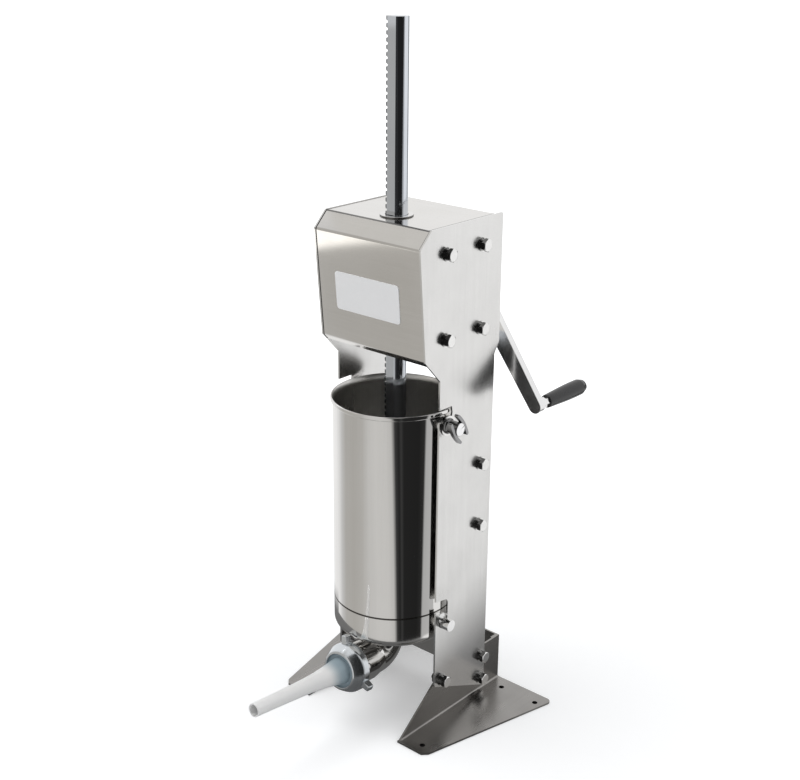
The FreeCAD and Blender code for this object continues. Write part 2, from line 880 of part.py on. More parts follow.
def head_trim():
    """The rear panel with its screws, the blank label plate and the ring round the bar."""
    low = "chin_z - cover_lip_drop"
    outline = [("0 - plate_in", low), ("plate_in", low),
               ("plate_in", "cover_under"), ("0 - plate_in", "cover_under")]
    holes = [(across, up, "panel_screw_radius + bolt_slack") for across, up in panel_screws()]
    holes.append(("crank_x", "crank_z", "crank_journal + cover_hole_slack"))
    plate("head_rear_panel", "XZ", outline, "cover_thick", ("0", "front_y + cover_rear", "0"), holes=holes)
    solids = []
    for across, up in panel_screws():
        face = Vector(size(across), size("front_y + cover_rear"), size(up))
        cap = rod(size("panel_screw_cap"), size("panel_screw_cap_thick"), face, Y_WAY)
        rim = [edge for edge in cap.Edges if abs(edge.CenterOfMass.y - cap.BoundBox.YMax) < NEAR]
        cap = cap.makeFillet(size("panel_screw_cap_thick / 2"), rim)
        shank = rod(size("panel_screw_radius"), size("cover_thick + panel_screw_depth"), face, Y_WAY * -1)
        solids.append(cap.fuse(shank))
    piece("rear_panel_screws", Part.makeCompound(solids))
    label_y = "front_y + cover_inset - nose_lead + (nose_z - label_z) * " + COVER_SLOPE
    tilt = 90 + math.degrees(math.atan(size(COVER_SLOPE)))
    half_x = "label_width / 2"
    half_y = "label_height / 2"
    label = plate("label_plate", "XY", [
        ("0 - " + half_x, "0 - " + half_y),
        (half_x, "0 - " + half_y),
        (half_x, half_y),
        ("0 - " + half_x, half_y),
    ], "label_thick", ("label_x", label_y, "label_z"), Rotation(X_WAY, tilt))
    corners = [Vector(a * size(half_x), b * size(half_y), 0) for a in (-1, 1) for b in (-1, 1)]
    soften(label, "label_corner", corner_edges(corners, Z_WAY))
    sleeve("rack_guide_ring", "rack_radius + guide_ring_slack", "guide_ring_radius", "guide_ring_thick",
           ("0", "axis_y", "cover_top"))


head_trim()


# Gearbox

SHAFTS = {
    "pinion": ("pinion_x", "pinion_z", "pinion_journal"),
    "crank": ("crank_x", "crank_z", "crank_journal"),
}


def guide_block(label, middle):
    """A bar between the side plates that guides the rack and carries the bearing plates."""
    length = "bearing_rear - bearing_front"
    low = middle + " - block_thick / 2"
    block = plate(label, "XY", [
        ("0 - plate_in", "bearing_front - axis_setback"),
        ("plate_in", "bearing_front - axis_setback"),
        ("plate_in", "bearing_rear - axis_setback"),
        ("0 - plate_in", "bearing_rear - axis_setback"),
    ], "block_thick", ("0", "axis_y", low), holes=[("0", "0", "rack_bush_radius")])
    for side in SIDES.values():
        bolts = [(back + " - axis_setback", "block_thick / 2", "bolt_radius")
                 for back in ("head_bolt_front", "head_bolt_rear")]
        drill(block, "YZ", bolts, "%d * plate_in" % side, "block_grip")
    for end in ("axis_setback - bearing_front", "axis_setback - bearing_front - (%s)" % length):
        screws = [("%d * plate_screw_x" % side, "block_thick / 2", "plate_screw_radius")
                  for side in SIDES.values()]
        drill(block, "XZ", screws, end, "plate_screw_depth")


guide_block("upper_guide_block", "head_bolt_high")
guide_block("lower_guide_block", "head_bolt_low")


def bearing_plate(label, rear_face, cap_face):
    """An upright plate that carries both shafts' bushes, screwed to the two blocks."""
    half = "bearing_half"
    bushes = [(across, up, journal + " + running_gap + bush_wall")
              for across, up, journal in SHAFTS.values()]
    screws = [(across, up, "plate_screw_radius + bolt_slack") for across, up in plate_screws()]
    body = plate(label, "XZ", [
        ("0 - " + half, "bearing_low"),
        (half, "bearing_low"),
        (half, "bearing_high"),
        ("0 - " + half, "bearing_high"),
    ], "bearing_plate_thick", ("0", "front_y + " + rear_face, "0"), holes=bushes + screws)
    caps = [(across, up, "plate_screw_cap + bolt_slack") for across, up in plate_screws()]
    drill(body, "XZ", caps, cap_face, "plate_screw_cap_thick")
    return body


bearing_plate("front_bearing_plate", "bearing_front", "bearing_plate_thick")
rear_plate = bearing_plate("rear_bearing_plate", "panel_front", "0")
drill(rear_plate, "XZ", [(across, up, "panel_screw_radius") for across, up in panel_screws()],
      "0", "panel_screw_depth")


def bearing_plate_screws():
    """Cap screws, sunk in the plates, that hold them to the blocks."""
    solids = []
    reach = size("bearing_plate_thick + plate_screw_depth - seat_gap")
    for across, up in plate_screws():
        for face, way in (("bearing_front - bearing_plate_thick", Y_WAY), ("panel_front", Y_WAY * -1)):
            start = Vector(size(across), size("front_y + " + face), size(up))
            cap = rod(size("plate_screw_cap"), size("plate_screw_cap_thick"), start, way)
            socket = hexagon_bar(size("plate_screw_cap"), size("plate_screw_cap_thick / 2"), start, way)
            solids.append(cap.fuse(rod(size("plate_screw_radius"), reach, start, way)).cut(socket))
    piece("bearing_plate_screws", Part.makeCompound(solids))


bearing_plate_screws()


def flanged_bush(label, bore, length, where, turn=None):
    """A bronze bush with a collar at its upper end."""
    inner = bore + " + running_gap"
    outer = inner + " + bush_wall"
    rim = outer + " + bush_rim"
    top = length + " + bush_flange"
    turned(label, [(inner, "0"), (outer, "0"), (outer, length), (rim, length), (rim, top), (inner, top)],
           where, turn)


def bushes():
    """The rack's two guide bushes and the four shaft bushes, collars facing inwards."""
    flanged_bush("upper_rack_bush", "rack_radius", "block_thick",
                 ("0", "axis_y", "head_bolt_high - block_thick / 2"))
    flanged_bush("lower_rack_bush", "rack_radius", "block_thick",
                 ("0", "axis_y", "head_bolt_low + block_thick / 2"), Rotation(X_WAY, 180))
    for name, (across, up, journal) in SHAFTS.items():
        flanged_bush("front_%s_bush" % name, journal, "bearing_plate_thick",
                     (across, "front_y + bearing_front - bearing_plate_thick", up), ALONG_Y)
        flanged_bush("rear_%s_bush" % name, journal, "bearing_plate_thick",
                     (across, "front_y + panel_front", up), FACING_FRONT)


bushes()


# Gears

# The pressure angle, a root's depth below the pitch line in modules, and the points on a flank
PRESSURE = math.radians(20)
DEDENDUM = 1.25
FLANK_STEPS = 5


def involute_point(base, reach, start):
    """A point of the involute of a base circle at one radius, from the start angle."""
    roll = math.sqrt(max((reach / base) ** 2 - 1, 0))
    angle = start + roll - math.atan(roll)
    return Vector(reach * math.cos(angle), reach * math.sin(angle), 0)


def gear_face(teeth, module, shift, thinning, first_angle):
    """A spur gear's outline, one tooth centred on the first angle."""
    pitch = module * teeth / 2
    base = pitch * math.cos(PRESSURE)
    tip = pitch + module * (1 + shift)
    root = pitch - module * (DEDENDUM - shift)
    thick = module * (math.pi / 2 + 2 * shift * math.tan(PRESSURE)) - thinning
    half = thick / (2 * pitch) + math.tan(PRESSURE) - PRESSURE
    lowest = max(base, root)
    reaches = [lowest + (tip - lowest) * k / FLANK_STEPS for k in range(FLANK_STEPS + 1)]
    step = 2 * math.pi / teeth
    edges = []
    for k in range(teeth):
        middle = first_angle + k * step
        right = [involute_point(base, reach, middle - half) for reach in reaches]
        left = [mirror_over(point, middle) for point in reversed(right)]
        tip_middle = Vector(tip * math.cos(middle), tip * math.sin(middle), 0)
        gap_middle = Vector(root * math.cos(middle + step / 2), root * math.sin(middle + step / 2), 0)
        low_right = Vector(right[0])
        if root < base:
            low_right = low_right.normalize() * root
        low_left = mirror_over(low_right, middle)
        turn = Rotation(Z_WAY, math.degrees(step))
        next_right = turn.multVec(low_right)
        if root < base:
            edges.append(Part.LineSegment(low_right, right[0]).toShape())
        edges.append(spline_edge(right))
        edges.append(Part.Arc(right[-1], tip_middle, left[0]).toShape())
        edges.append(spline_edge(left))
        if root < base:
            edges.append(Part.LineSegment(left[-1], low_left).toShape())
        edges.append(Part.Arc(low_left, gap_middle, next_right).toShape())
    return Part.Face(Part.Wire(edges))


def mirror_over(point, angle):
    """The mirror image of a point in the line at an angle through the centre."""
    reach = math.hypot(point.x, point.y)
    turned_angle = 2 * angle - math.atan2(point.y, point.x)
    return Vector(reach * math.cos(turned_angle), reach * math.sin(turned_angle), 0)


def spline_edge(points):
    """A smooth edge through points."""
    curve = Part.BSplineCurve()
    curve.interpolate(points)
    return curve.toShape()


def gear_solid(teeth, module, shift, thinning, first_angle, width, rear):
    """A gear about the local Z axis, which points to the front, from its rear face."""
    face = gear_face(int(teeth), module, shift, thinning, math.radians(first_angle))
    solid = face.extrude(Vector(0, 0, width))
    solid.translate(Vector(0, 0, rear))
    return solid


MESH_ANGLE = -math.degrees(math.asin(size("crank_drop") / size("gear_centres")))
FRONT_END = size("bearing_front - bearing_plate_thick")
REAR_END = size("panel_front")
JOURNAL = size("bearing_plate_thick + bush_flange + shoulder_gap")
SHAFT_END = size("shoulder_gap")
WHEEL_REAR = size("wheel_start + wheel_width")


def key_box(way_angle):
    """The key between the pinion shaft and the large wheel."""
    width = size("key_width")
    box = Part.makeBox(width, width, size("wheel_width"))
    box.translate(Vector(size("pinion_core") - width / 2, -width / 2, REAR_END - WHEEL_REAR))
    box.rotate(Vector(), Z_WAY, way_angle)
    return box


def pinion_group():
    """The pinion cut on its shaft, the large wheel keyed to it and the clip behind the wheel."""
    where = Vector(size("pinion_x"), size("front_y + panel_front"), size("pinion_z"))
    length = REAR_END - FRONT_END
    core = length - 2 * JOURNAL
    shaft = stepped_rod([(size("pinion_journal"), JOURNAL - SHAFT_END), (size("pinion_core"), core),
                         (size("pinion_journal"), JOURNAL)], Vector(0, 0, SHAFT_END), Z_WAY)
    rear = REAR_END - size("axis_setback + pinion_width / 2")
    teeth = size("pinion_teeth")
    pinion = gear_solid(teeth, size("rack_module"), size("pinion_shift"), 0, 180 / teeth,
                        size("pinion_width"), rear)
    key = key_box(90)
    clip_rear = REAR_END - WHEEL_REAR - size("clip_thick")
    groove_radius = size("pinion_core - clip_thick / 2")
    clip_base = Vector(0, 0, clip_rear)
    groove = flat_ring(size("pinion_core + clip_rim"), groove_radius, size("clip_thick"), clip_base, Z_WAY)
    piece("pinion_shaft", shaft.fuse(pinion).cut(key).cut(groove), where, FACING_FRONT)
    wheel = gear_solid(size("wheel_teeth"), size("wheel_module"), 0, size("gear_backlash"), MESH_ANGLE,
                       size("wheel_width"), REAR_END - WHEEL_REAR)
    hub_length = size("wheel_width + wheel_hub_length")
    hub_base = Vector(0, 0, REAR_END - WHEEL_REAR)
    wheel = wheel.fuse(rod(size("wheel_hub_radius"), hub_length, hub_base, Z_WAY))
    bore = rod(size("pinion_core"), hub_length, hub_base, Z_WAY)
    piece("large_wheel", wheel.cut(bore).cut(key), where, FACING_FRONT)
    piece("wheel_key", key, where, FACING_FRONT)
    clip = flat_ring(size("pinion_core + clip_rim"), groove_radius, size("clip_thick"), clip_base, Z_WAY)
    gap = Part.makeBox(size("clip_rim * 2"), size("pinion_core * 2"), size("clip_thick"))
    gap.translate(Vector(-size("clip_rim"), 0, clip_rear))
    piece("wheel_clip", clip.cut(gap), where, FACING_FRONT)


pinion_group()


def crank_shaft():
    """The crank shaft with its small gear, and a squared end for the crank."""
    where = Vector(size("crank_x"), size("front_y + panel_front"), size("crank_z"))
    beyond = size("arm_back - panel_front")
    square = size("arm_thick") - SHAFT_END
    core = REAR_END - FRONT_END - 2 * JOURNAL
    journal = size("crank_journal")
    start = Vector(0, 0, -beyond - square)
    shaft = stepped_rod([(journal, square + beyond + JOURNAL), (size("crank_core"), core),
                         (journal, JOURNAL)], start, Z_WAY)
    overlap = size("crank_gear_overlap")
    teeth = size("crank_gear_teeth")
    gear = gear_solid(teeth, size("wheel_module"), 0, size("gear_backlash"),
                      180 + MESH_ANGLE + 180 / teeth, size("wheel_width") + 2 * overlap,
                      REAR_END - WHEEL_REAR - overlap)
    side = size("square_end")
    keep = Part.makeBox(side, side, square, start + Vector(-side / 2, -side / 2, 0))
    keep.rotate(start, Z_WAY, -size("crank_angle"))
    waste = rod(2 * journal, square, start, Z_WAY).cut(keep)
    tapped = rod(size("arm_screw_radius"), size("arm_screw_depth"), start, Z_WAY)
    piece("crank_shaft", shaft.fuse(gear).cut(waste).cut(tapped), where, FACING_FRONT)


crank_shaft()


# Rack and piston

def rack_bar():
    """A round bar with two flats and a row of teeth, and a stud below for the piston."""
    radius = size("rack_radius")
    bottom = size("rack_bottom")
    top = bottom + size("rack_length")
    flat = size("rack_flat")
    module = size("rack_module")
    tip = size("rack_tip_x")
    root = tip - (1 + DEDENDUM) * module
    pitch = math.pi * module
    first = bottom + size("rack_plain_end")
    gap_half = (pitch / 2 + size("rack_backlash")) / 2
    wide = gap_half + module * math.tan(PRESSURE)
    narrow = gap_half - DEDENDUM * module * math.tan(PRESSURE)
    middle = size("pinion_z") + pitch / 2
    middle -= math.floor((middle - wide - first) / pitch) * pitch
    side = [(radius, top), (radius, bottom), (-radius, bottom), (-radius, first), (-tip, first)]
    while middle + wide < top:
        side += [(-tip, middle - wide), (-root, middle - narrow)]
        side += [(-root, middle + narrow), (-tip, middle + wide)]
        middle += pitch
    side.append((-tip, top))
    profile = face_through([Vector(x, -flat, z) for x, z in side])
    bar = rod(radius, top - bottom, Vector(0, 0, bottom), Z_WAY).common(profile.extrude(Y_WAY * 2 * flat))
    stud_length = size("piston_hub_height + piston_thick - piston_recess_slack")
    bar = bar.fuse(rod(size("rack_stud_radius"), stud_length, Vector(0, 0, bottom), Z_WAY * -1))
    piece("rack_bar", bar, Vector(0, size("axis_y"), 0))


rack_bar()


def piston_group():
    """The piston disc, its seal, the nut and washer that hold it, and its air valve."""
    edge = "piston_edge"
    groove = "piston_radius - seal_depth"
    recess = "piston_nut_height + piston_washer_thick + piston_recess_slack"
    recess_radius = "piston_washer_radius + piston_recess_slack"
    top = "piston_thick + piston_hub_height"
    base = ("0", "axis_y", "piston_bottom")
    piston = turned("piston", [
        (recess_radius, "0"),
        ("piston_radius", "0"),
        ("piston_radius", edge),
        (groove, edge),
        (groove, "piston_thick - piston_edge"),
        ("piston_radius", "piston_thick - piston_edge"),
        ("piston_radius", "piston_thick"),
        ("piston_hub_radius", "piston_thick"),
        ("piston_hub_radius", top),
        ("rack_stud_radius", top),
        ("rack_stud_radius", recess),
        (recess_radius, recess),
    ], base)
    foot_room = "valve_foot_thick + valve_travel + seat_gap"
    drill(piston, "XY", [("valve_offset", "0", "valve_radius + valve_slack")])
    drill(piston, "XY", [("valve_offset", "0", "valve_cap_radius + valve_slack")], "0", foot_room)
    seal_outer = "tube_bore - seal_gap"
    turned("piston_seal", [
        (groove, edge),
        (seal_outer, edge),
        (seal_outer + " - piston_gap", "piston_thick / 2"),
        (seal_outer, "piston_thick - piston_edge"),
        (groove, "piston_thick - piston_edge"),
    ], base)
    height = "piston_bottom + %s - piston_washer_thick" % recess
    sleeve("piston_washer", "rack_stud_radius", "piston_washer_radius", "piston_washer_thick",
           ("0", "axis_y", height))
    nut_top = Vector(0, size("axis_y"), size(height))
    nut = hexagon_bar(size("piston_nut_flats"), size("piston_nut_height"), nut_top, Z_WAY * -1)
    hole = rod(size("rack_stud_radius"), size("piston_nut_height"), nut_top, Z_WAY * -1)
    piece("piston_nut", nut.cut(hole))
    turned("air_valve", [
        ("0", "0"),
        ("valve_cap_radius", "0"),
        ("valve_cap_radius", "valve_foot_thick"),
        ("valve_radius", "valve_foot_thick"),
        ("valve_radius", "piston_thick + seat_gap"),
        ("valve_cap_radius", "piston_thick + seat_gap"),
        ("valve_cap_radius", "piston_thick + seat_gap + valve_cap_thick"),
        ("0", "piston_thick + seat_gap + valve_cap_thick"),
    ], ("valve_offset", "axis_y", "piston_bottom"))


piston_group()


# Cylinder

def cylinder_pieces():
    """The straight tube with its rolled rim, and the deep cup under the seam."""
    rim_out = "tube_bore + rim_width"
    rim_low = "rim_z - seam_z - rim_height"
    tube = turned("cylinder_tube", [
        ("tube_bore", "0"),
        ("tube_radius", "0"),
        ("tube_radius", rim_low),
        (rim_out, rim_low),
        (rim_out, "rim_z - seam_z"),
        ("tube_bore + rim_flare", "rim_z - seam_z"),
        ("tube_bore", "rim_z - seam_z - rim_flare_depth"),
    ], ("0", "axis_y", "seam_z"))
    height = size("rim_z - seam_z")

    low_bead = circle_edges(size(rim_out), size(rim_low))
    high_bead = circle_edges(size(rim_out), height)
    soften(tube, "rim_round", lambda edge: low_bead(edge) or high_bead(edge))
    soften(tube, "seam_round", circle_edges(size("tube_radius"), 0))
    cup = turned("cylinder_cup", [
        ("0", "0"),
        ("tube_radius", "0"),
        ("tube_radius", "seam_z - cup_bottom"),
        ("tube_bore", "seam_z - cup_bottom"),
        ("tube_bore", "tube_wall"),
        ("0", "tube_wall"),
    ], ("0", "axis_y", "cup_bottom"))
    soften(cup, "cup_corner", circle_edges(size("tube_radius"), 0))
    soften(cup, "seam_round", circle_edges(size("tube_radius"), size("seam_z - cup_bottom")))
    soften(cup, "cup_corner - tube_wall", circle_edges(size("tube_bore"), size("tube_wall")))
    check_cut(cup, drill(cup, "XY", [("0", "0 - outlet_lead", "pipe_bore")]))


cylinder_pieces()


def cylinder_pin(label, side, height, radius, reach):
    """A boss seated on the cylinder's wall, with its pin through the side plate's slot."""
    body = open_body(label, ("0", "axis_y", height))
    boss = open_sketch(body, "YZ", "%d * (tube_bore - tube_wall)" % side)
    draw_circle(boss, "0", "0", "boss_radius")
    pad(body, boss, "plate_in - seat_gap - tube_bore + tube_wall", side < 0)
    pin = open_sketch(body, "YZ", "%d * (plate_in - seat_gap)" % side)
    draw_circle(pin, "0", "0", radius)
    pad(body, pin, "plate_thick + seat_gap + " + reach, side < 0)
    wall = open_sketch(body, "XY")
    draw_circle(wall, "0", "0", "tube_radius + weld_gap")
    check_cut(body, pocket(body, wall))
    return body


for name, side in SIDES.items():
    cylinder_pin("trunnion_pin_" + name, side, "pin_z", "pin_radius", "pin_reach")
cylinder_pin("clamp_stud_left", -1, "stud_z", "stud_radius", "stud_short_reach")
cylinder_pin("clamp_stud_right", 1, "stud_z", "stud_radius", "stud_reach")


# Outlet

BEND_CENTRE = Vector(0, size("axis_y - outlet_lead - bend_radius"), size("cup_bottom - bend_drop"))
RISE = math.radians(size("outlet_rise"))
FORWARD = Vector(0, -math.cos(RISE), math.sin(RISE))
BEND_END = BEND_CENTRE + Vector(0, -math.sin(RISE), -math.cos(RISE)) * size("bend_radius")


def along_outlet(distance):
    """A point of the outlet's axis, ahead of the bend's end."""
    return BEND_END + FORWARD * distance


def elbow_core(radius, far_radius):
    """A solid that follows the outlet: a drop, a bend, a cone and a straight end."""
    top = BEND_CENTRE + Vector(0, size("bend_radius"), 0)
    disc = Part.Face(Part.Wire(Part.Circle(top, Z_WAY, radius).toShape()))
    bend = disc.revolve(BEND_CENTRE, X_WAY, -(90 + size("outlet_rise")))
    drop = rod(radius, size("bend_drop"), top, Z_WAY)
    start = size("ferrule_start")
    if radius == far_radius:
        neck = rod(radius, start, BEND_END, FORWARD)
    else:
        neck = Part.makeCone(radius, far_radius, start, BEND_END, FORWARD)
    tail = rod(far_radius, size("ferrule_end") - start, along_outlet(start), FORWARD)
    return drop.fuse([bend, neck, tail])


def outlet_elbow():
    """The elbow under the cup, smooth but for the round thread that the nut covers."""
    elbow = elbow_core(size("pipe_radius"), size("ferrule_radius"))
    elbow = elbow.cut(elbow_core(size("pipe_bore"), size("pipe_bore")))
    pitch = size("thread_pitch")
    for k in range(int(size("thread_turns"))):
        middle = along_outlet(size("ferrule_end") - (k + 1) * pitch)
        groove = Part.makeTorus(size("ferrule_radius"), size("thread_depth"), middle, FORWARD)
        elbow = elbow.cut(groove)
    piece("outlet_elbow", elbow)


outlet_elbow()


def outlet_place(distance):
    """Placement cells for a turned piece that sits on the outlet's axis."""
    rise = "outlet_rise * 1 deg"
    reach = "bend_radius * sin(%s) + (%s) * cos(%s)" % (rise, distance, rise)
    climb = "(%s) * sin(%s) - bend_radius * cos(%s)" % (distance, rise, rise)
    return ("0", "axis_y - outlet_lead - bend_radius - (%s)" % reach,
            "cup_bottom - bend_drop + " + climb)


def outlet_pieces():
    """The gasket, the plastic funnel and the wing nut that clamps it."""
    sleeve("outlet_gasket", "pipe_bore", "gasket_radius", "gasket_thick",
           outlet_place("ferrule_end"), OUTLET_WAY)
    wall = "funnel_wall"
    tip = "funnel_tip_radius"
    straight = "funnel_length - funnel_tip_length"
    funnel = turned("funnel", [
        ("funnel_mouth_radius - " + wall, "0"),
        ("gasket_radius", "0"),
        ("gasket_radius", "funnel_flange"),
        ("funnel_mouth_radius", "funnel_flange"),
        ("funnel_neck_radius", "funnel_neck"),
        (tip, straight),
        (tip, "funnel_length"),
        (tip + " - " + wall, "funnel_length"),
        (tip + " - " + wall, straight),
        ("funnel_neck_radius - " + wall, "funnel_neck"),
    ], outlet_place("ferrule_end + gasket_thick"), OUTLET_WAY)
    soften(funnel, "funnel_neck", circle_edges(size("funnel_neck_radius"), size("funnel_neck")))
    ring_nut()


def ring_nut():
    """The domed nut with three lugs that holds the funnel on the elbow."""
    bore = "ferrule_radius + running_gap"
    face = "nut_band + nut_dome"
    nut = open_body("ring_nut", outlet_place("nut_rear"),
                    OUTLET_WAY.multiply(Rotation(Z_WAY, size("lug_angle"))))
    spin(nut, [
        (bore, "0"),
        ("nut_band_radius", "0"),
        ("nut_band_radius", "nut_band"),
        ("nut_rim_radius", face),
        ("nut_mouth_radius", face),
        ("nut_mouth_radius", face + " - nut_face"),
        (bore, face + " - nut_face"),
    ])
    shoulder = circle_edges(size("nut_band_radius"), size("nut_band"))
    rim = circle_edges(size("nut_rim_radius"), size(face))
    soften(nut, "nut_round", lambda edge: shoulder(edge) or rim(edge))
    lug = open_sketch(nut, "XY", "nut_band - lug_length")
    near = "nut_band_radius - nut_face"
    draw_outline(lug, [(near, "0 - lug_width / 2"), ("lug_reach", "0 - lug_width / 2"),
                       ("lug_reach", "lug_width / 2"), (near, "lug_width / 2")])
    wing = pad(nut, lug, "lug_length")
    repeat_round(nut, wing, 3)


def repeat_round(body, feature, times):
    """Repeat a feature evenly about the body's axis."""
    doc.recompute()
    pattern = body.newObject("PartDesign::PolarPattern", body.Name + "_repeat")
    pattern.Originals = [feature]
    pattern.Axis = ([item for item in body.Origin.OriginFeatures if item.Role == "Z_Axis"][0], [""])
    pattern.Angle = 360
    pattern.Occurrences = times
    body.Tip = pattern


outlet_pieces()


# Clamp knob

def clamp_pieces():
    """The washer and the two-winged knob on the right-hand clamp stud."""
    axis = Vector(0, size("axis_y"), size("stud_z"))
    face = axis + X_WAY * size("plate_out")
    hole = size("stud_radius + stud_slack")
    washer = flat_ring(size("clamp_washer_radius"), hole, size("clamp_washer_thick"), face, X_WAY)
    piece("clamp_washer", washer)
    turn = Rotation(Y_WAY, 90).multiply(Rotation(Z_WAY, 90 + size("knob_angle")))
    knob = open_body("clamp_knob", ("knob_start", "axis_y", "stud_z"), turn)
    spin(knob, [
        ("stud_radius + running_gap", "0"),
        ("knob_radius + knob_collar", "0"),
        ("knob_radius", "knob_collar_height"),
        ("knob_radius", "knob_length"),
        ("0", "knob_length"),
        ("0", "knob_length - knob_end_wall"),
        ("stud_radius + running_gap", "knob_length - knob_end_wall"),
    ])
    soften(knob, "knob_round", circle_edges(size("knob_radius"), size("knob_length")))
    wing = open_sketch(knob, "XY", "knob_length - knob_wing_gap - knob_wing_width")
    draw_outline(wing, [
        ("wing_mid", "0 - knob_wing_flat"),
        ("wing_tip", "0 - knob_wing_reach"),
        ("wing_tip + knob_wing_thick", "0 - knob_wing_reach"),
        ("wing_mid + knob_wing_thick", "0 - knob_wing_flat"),
        ("wing_mid + knob_wing_thick", "knob_wing_flat"),
        ("wing_tip + knob_wing_thick", "knob_wing_reach"),
        ("wing_tip", "knob_wing_reach"),
        ("wing_mid", "knob_wing_flat"),
    ])
    first = pad(knob, wing, "knob_wing_width")
    repeat_round(knob, first, 2)
    tips = [Vector(x, y, 0) for x in (size("wing_tip"), -size("wing_tip"))
            for y in (size("knob_wing_reach"), -size("knob_wing_reach"))]
    tips += [spot + X_WAY * math.copysign(size("knob_wing_thick"), spot.x) for spot in tips]
    soften(knob, "knob_wing_round", corner_edges(tips, Z_WAY))


clamp_pieces()


# Crank

def crank_arm():
    """The flat tapered arm, with a square hole at the shaft and a round one at the grip."""
    arm = open_body("crank_arm", ("crank_x", "front_y + arm_back + arm_thick", "crank_z"),
                    FACING_FRONT.multiply(Rotation(Z_WAY, -size("crank_angle"))))
    bar = open_sketch(arm, "XY")
    draw_outline(bar, [("0", "0 - arm_neck_radius"), ("crank_radius", "0 - arm_end_radius"),
                       ("crank_radius", "arm_end_radius"), ("0", "arm_neck_radius")])
    pad(arm, bar, "arm_thick")
    for across, radius in (("0", "arm_hub_radius"), ("crank_radius", "arm_end_radius")):
        end = open_sketch(arm, "XY")
        draw_circle(end, across, "0", radius)
        pad(arm, end, "arm_thick")
    half = "square_end / 2"
    square = open_sketch(arm, "XY")
    draw_outline(square, [("0 - " + half, "0 - " + half), (half, "0 - " + half),
                          (half, half), ("0 - " + half, half)])
    pocket(arm, square)
    check_cut(arm, drill(arm, "XY", [("crank_radius", "0", "spindle_radius")]))


def crank_fittings():
    """The screw and washer on the shaft, and the grip on its spindle."""
    rear = "front_y + arm_back + arm_thick"
    sleeve("crank_washer", "arm_screw_radius", "arm_washer_radius", "arm_washer_thick",
           ("crank_x", rear, "crank_z"), ALONG_Y)
    seat = Vector(size("crank_x"), size(rear + " + arm_washer_thick"), size("crank_z"))
    head = hexagon_bar(size("arm_screw_flats"), size("arm_screw_head"), seat, Y_WAY)
    reach = size("arm_washer_thick + arm_screw_depth - seat_gap")
    shank = rod(size("arm_screw_radius"), reach, seat, Y_WAY * -1)
    piece("crank_screw", head.fuse(shank))
    centre = Vector(size("spindle_x"), size(rear), size("spindle_z"))
    collar = hexagon_bar(size("spindle_collar_flats"), size("spindle_collar_length"), centre, Y_WAY)
    radius = size("spindle_radius")
    inside = size("spindle_collar_length + grip_length") - size("grip_end_round")
    rivet = rod(radius, size("arm_thick"), centre, Y_WAY * -1)
    piece("grip_spindle", collar.fuse([rod(radius, inside, centre, Y_WAY), rivet]))
    bore = "spindle_radius + grip_slack"
    depth = "grip_length - grip_end_round + seat_gap"
    grip = turned("grip", [
        (bore, "0"),
        ("grip_neck_radius", "0"),
        ("grip_neck_radius + grip_swell", "grip_neck_length"),
        ("grip_radius", "grip_taper_end"),
        ("grip_radius", "grip_length"),
        ("0", "grip_length"),
        ("0", depth),
        (bore, depth),
    ], ("spindle_x", "front_y + grip_start", "spindle_z"), ALONG_Y)
    soften(grip, "grip_end_round", circle_edges(size("grip_radius"), size("grip_length")))


crank_arm()
crank_fittings()


# Check every object, then write each piece to a file of its own
doc.recompute()
for item in doc.Objects:
    if "Invalid" in item.State or "Error" in item.State:
        raise RuntimeError("failed: " + item.Name + " " + str(item.State))
for node in nodes:
    if node.Shape.isNull() or not node.Shape.isValid():
        raise RuntimeError("bad shape: " + node.Label)
os.makedirs("parts", exist_ok=True)
for node in nodes:
    node.Shape.exportStep("parts/" + node.Label + ".step")
whole = Part.makeCompound([node.Shape for node in nodes]).BoundBox
print(len(nodes), "pieces")
print("width %.2f to %.2f" % (whole.XMin, whole.XMax))
print("depth %.2f to %.2f" % (whole.YMin, whole.YMax))
print("height %.2f to %.2f" % (whole.ZMin, whole.ZMax))
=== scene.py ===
import bmesh
import bpy
import math
from mathutils import Matrix, Vector


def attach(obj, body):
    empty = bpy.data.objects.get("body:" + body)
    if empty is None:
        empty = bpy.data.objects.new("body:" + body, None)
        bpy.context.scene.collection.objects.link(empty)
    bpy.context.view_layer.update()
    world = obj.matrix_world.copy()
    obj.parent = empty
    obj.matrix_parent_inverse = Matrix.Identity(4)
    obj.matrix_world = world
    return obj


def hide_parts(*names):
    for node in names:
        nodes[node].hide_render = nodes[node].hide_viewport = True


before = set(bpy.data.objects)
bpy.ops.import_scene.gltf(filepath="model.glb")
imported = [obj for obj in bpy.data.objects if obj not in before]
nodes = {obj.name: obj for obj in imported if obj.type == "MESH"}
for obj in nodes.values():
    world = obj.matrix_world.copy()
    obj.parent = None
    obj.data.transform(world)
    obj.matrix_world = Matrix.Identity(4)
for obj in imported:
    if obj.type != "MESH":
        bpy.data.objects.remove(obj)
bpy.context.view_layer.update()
MM = 0.001


# ---- camera, at the photograph's angle ----

# Place in metres, angles in degrees, lens and sensor in millimetres
CAMERA_PLACE = (1.2180, -1.35813, 1.2010)
CAMERA_YAW, CAMERA_PITCH, CAMERA_ROLL = 41.219, 20.333, 0.472
CAMERA_LENS, CAMERA_SENSOR = 59.96, 36


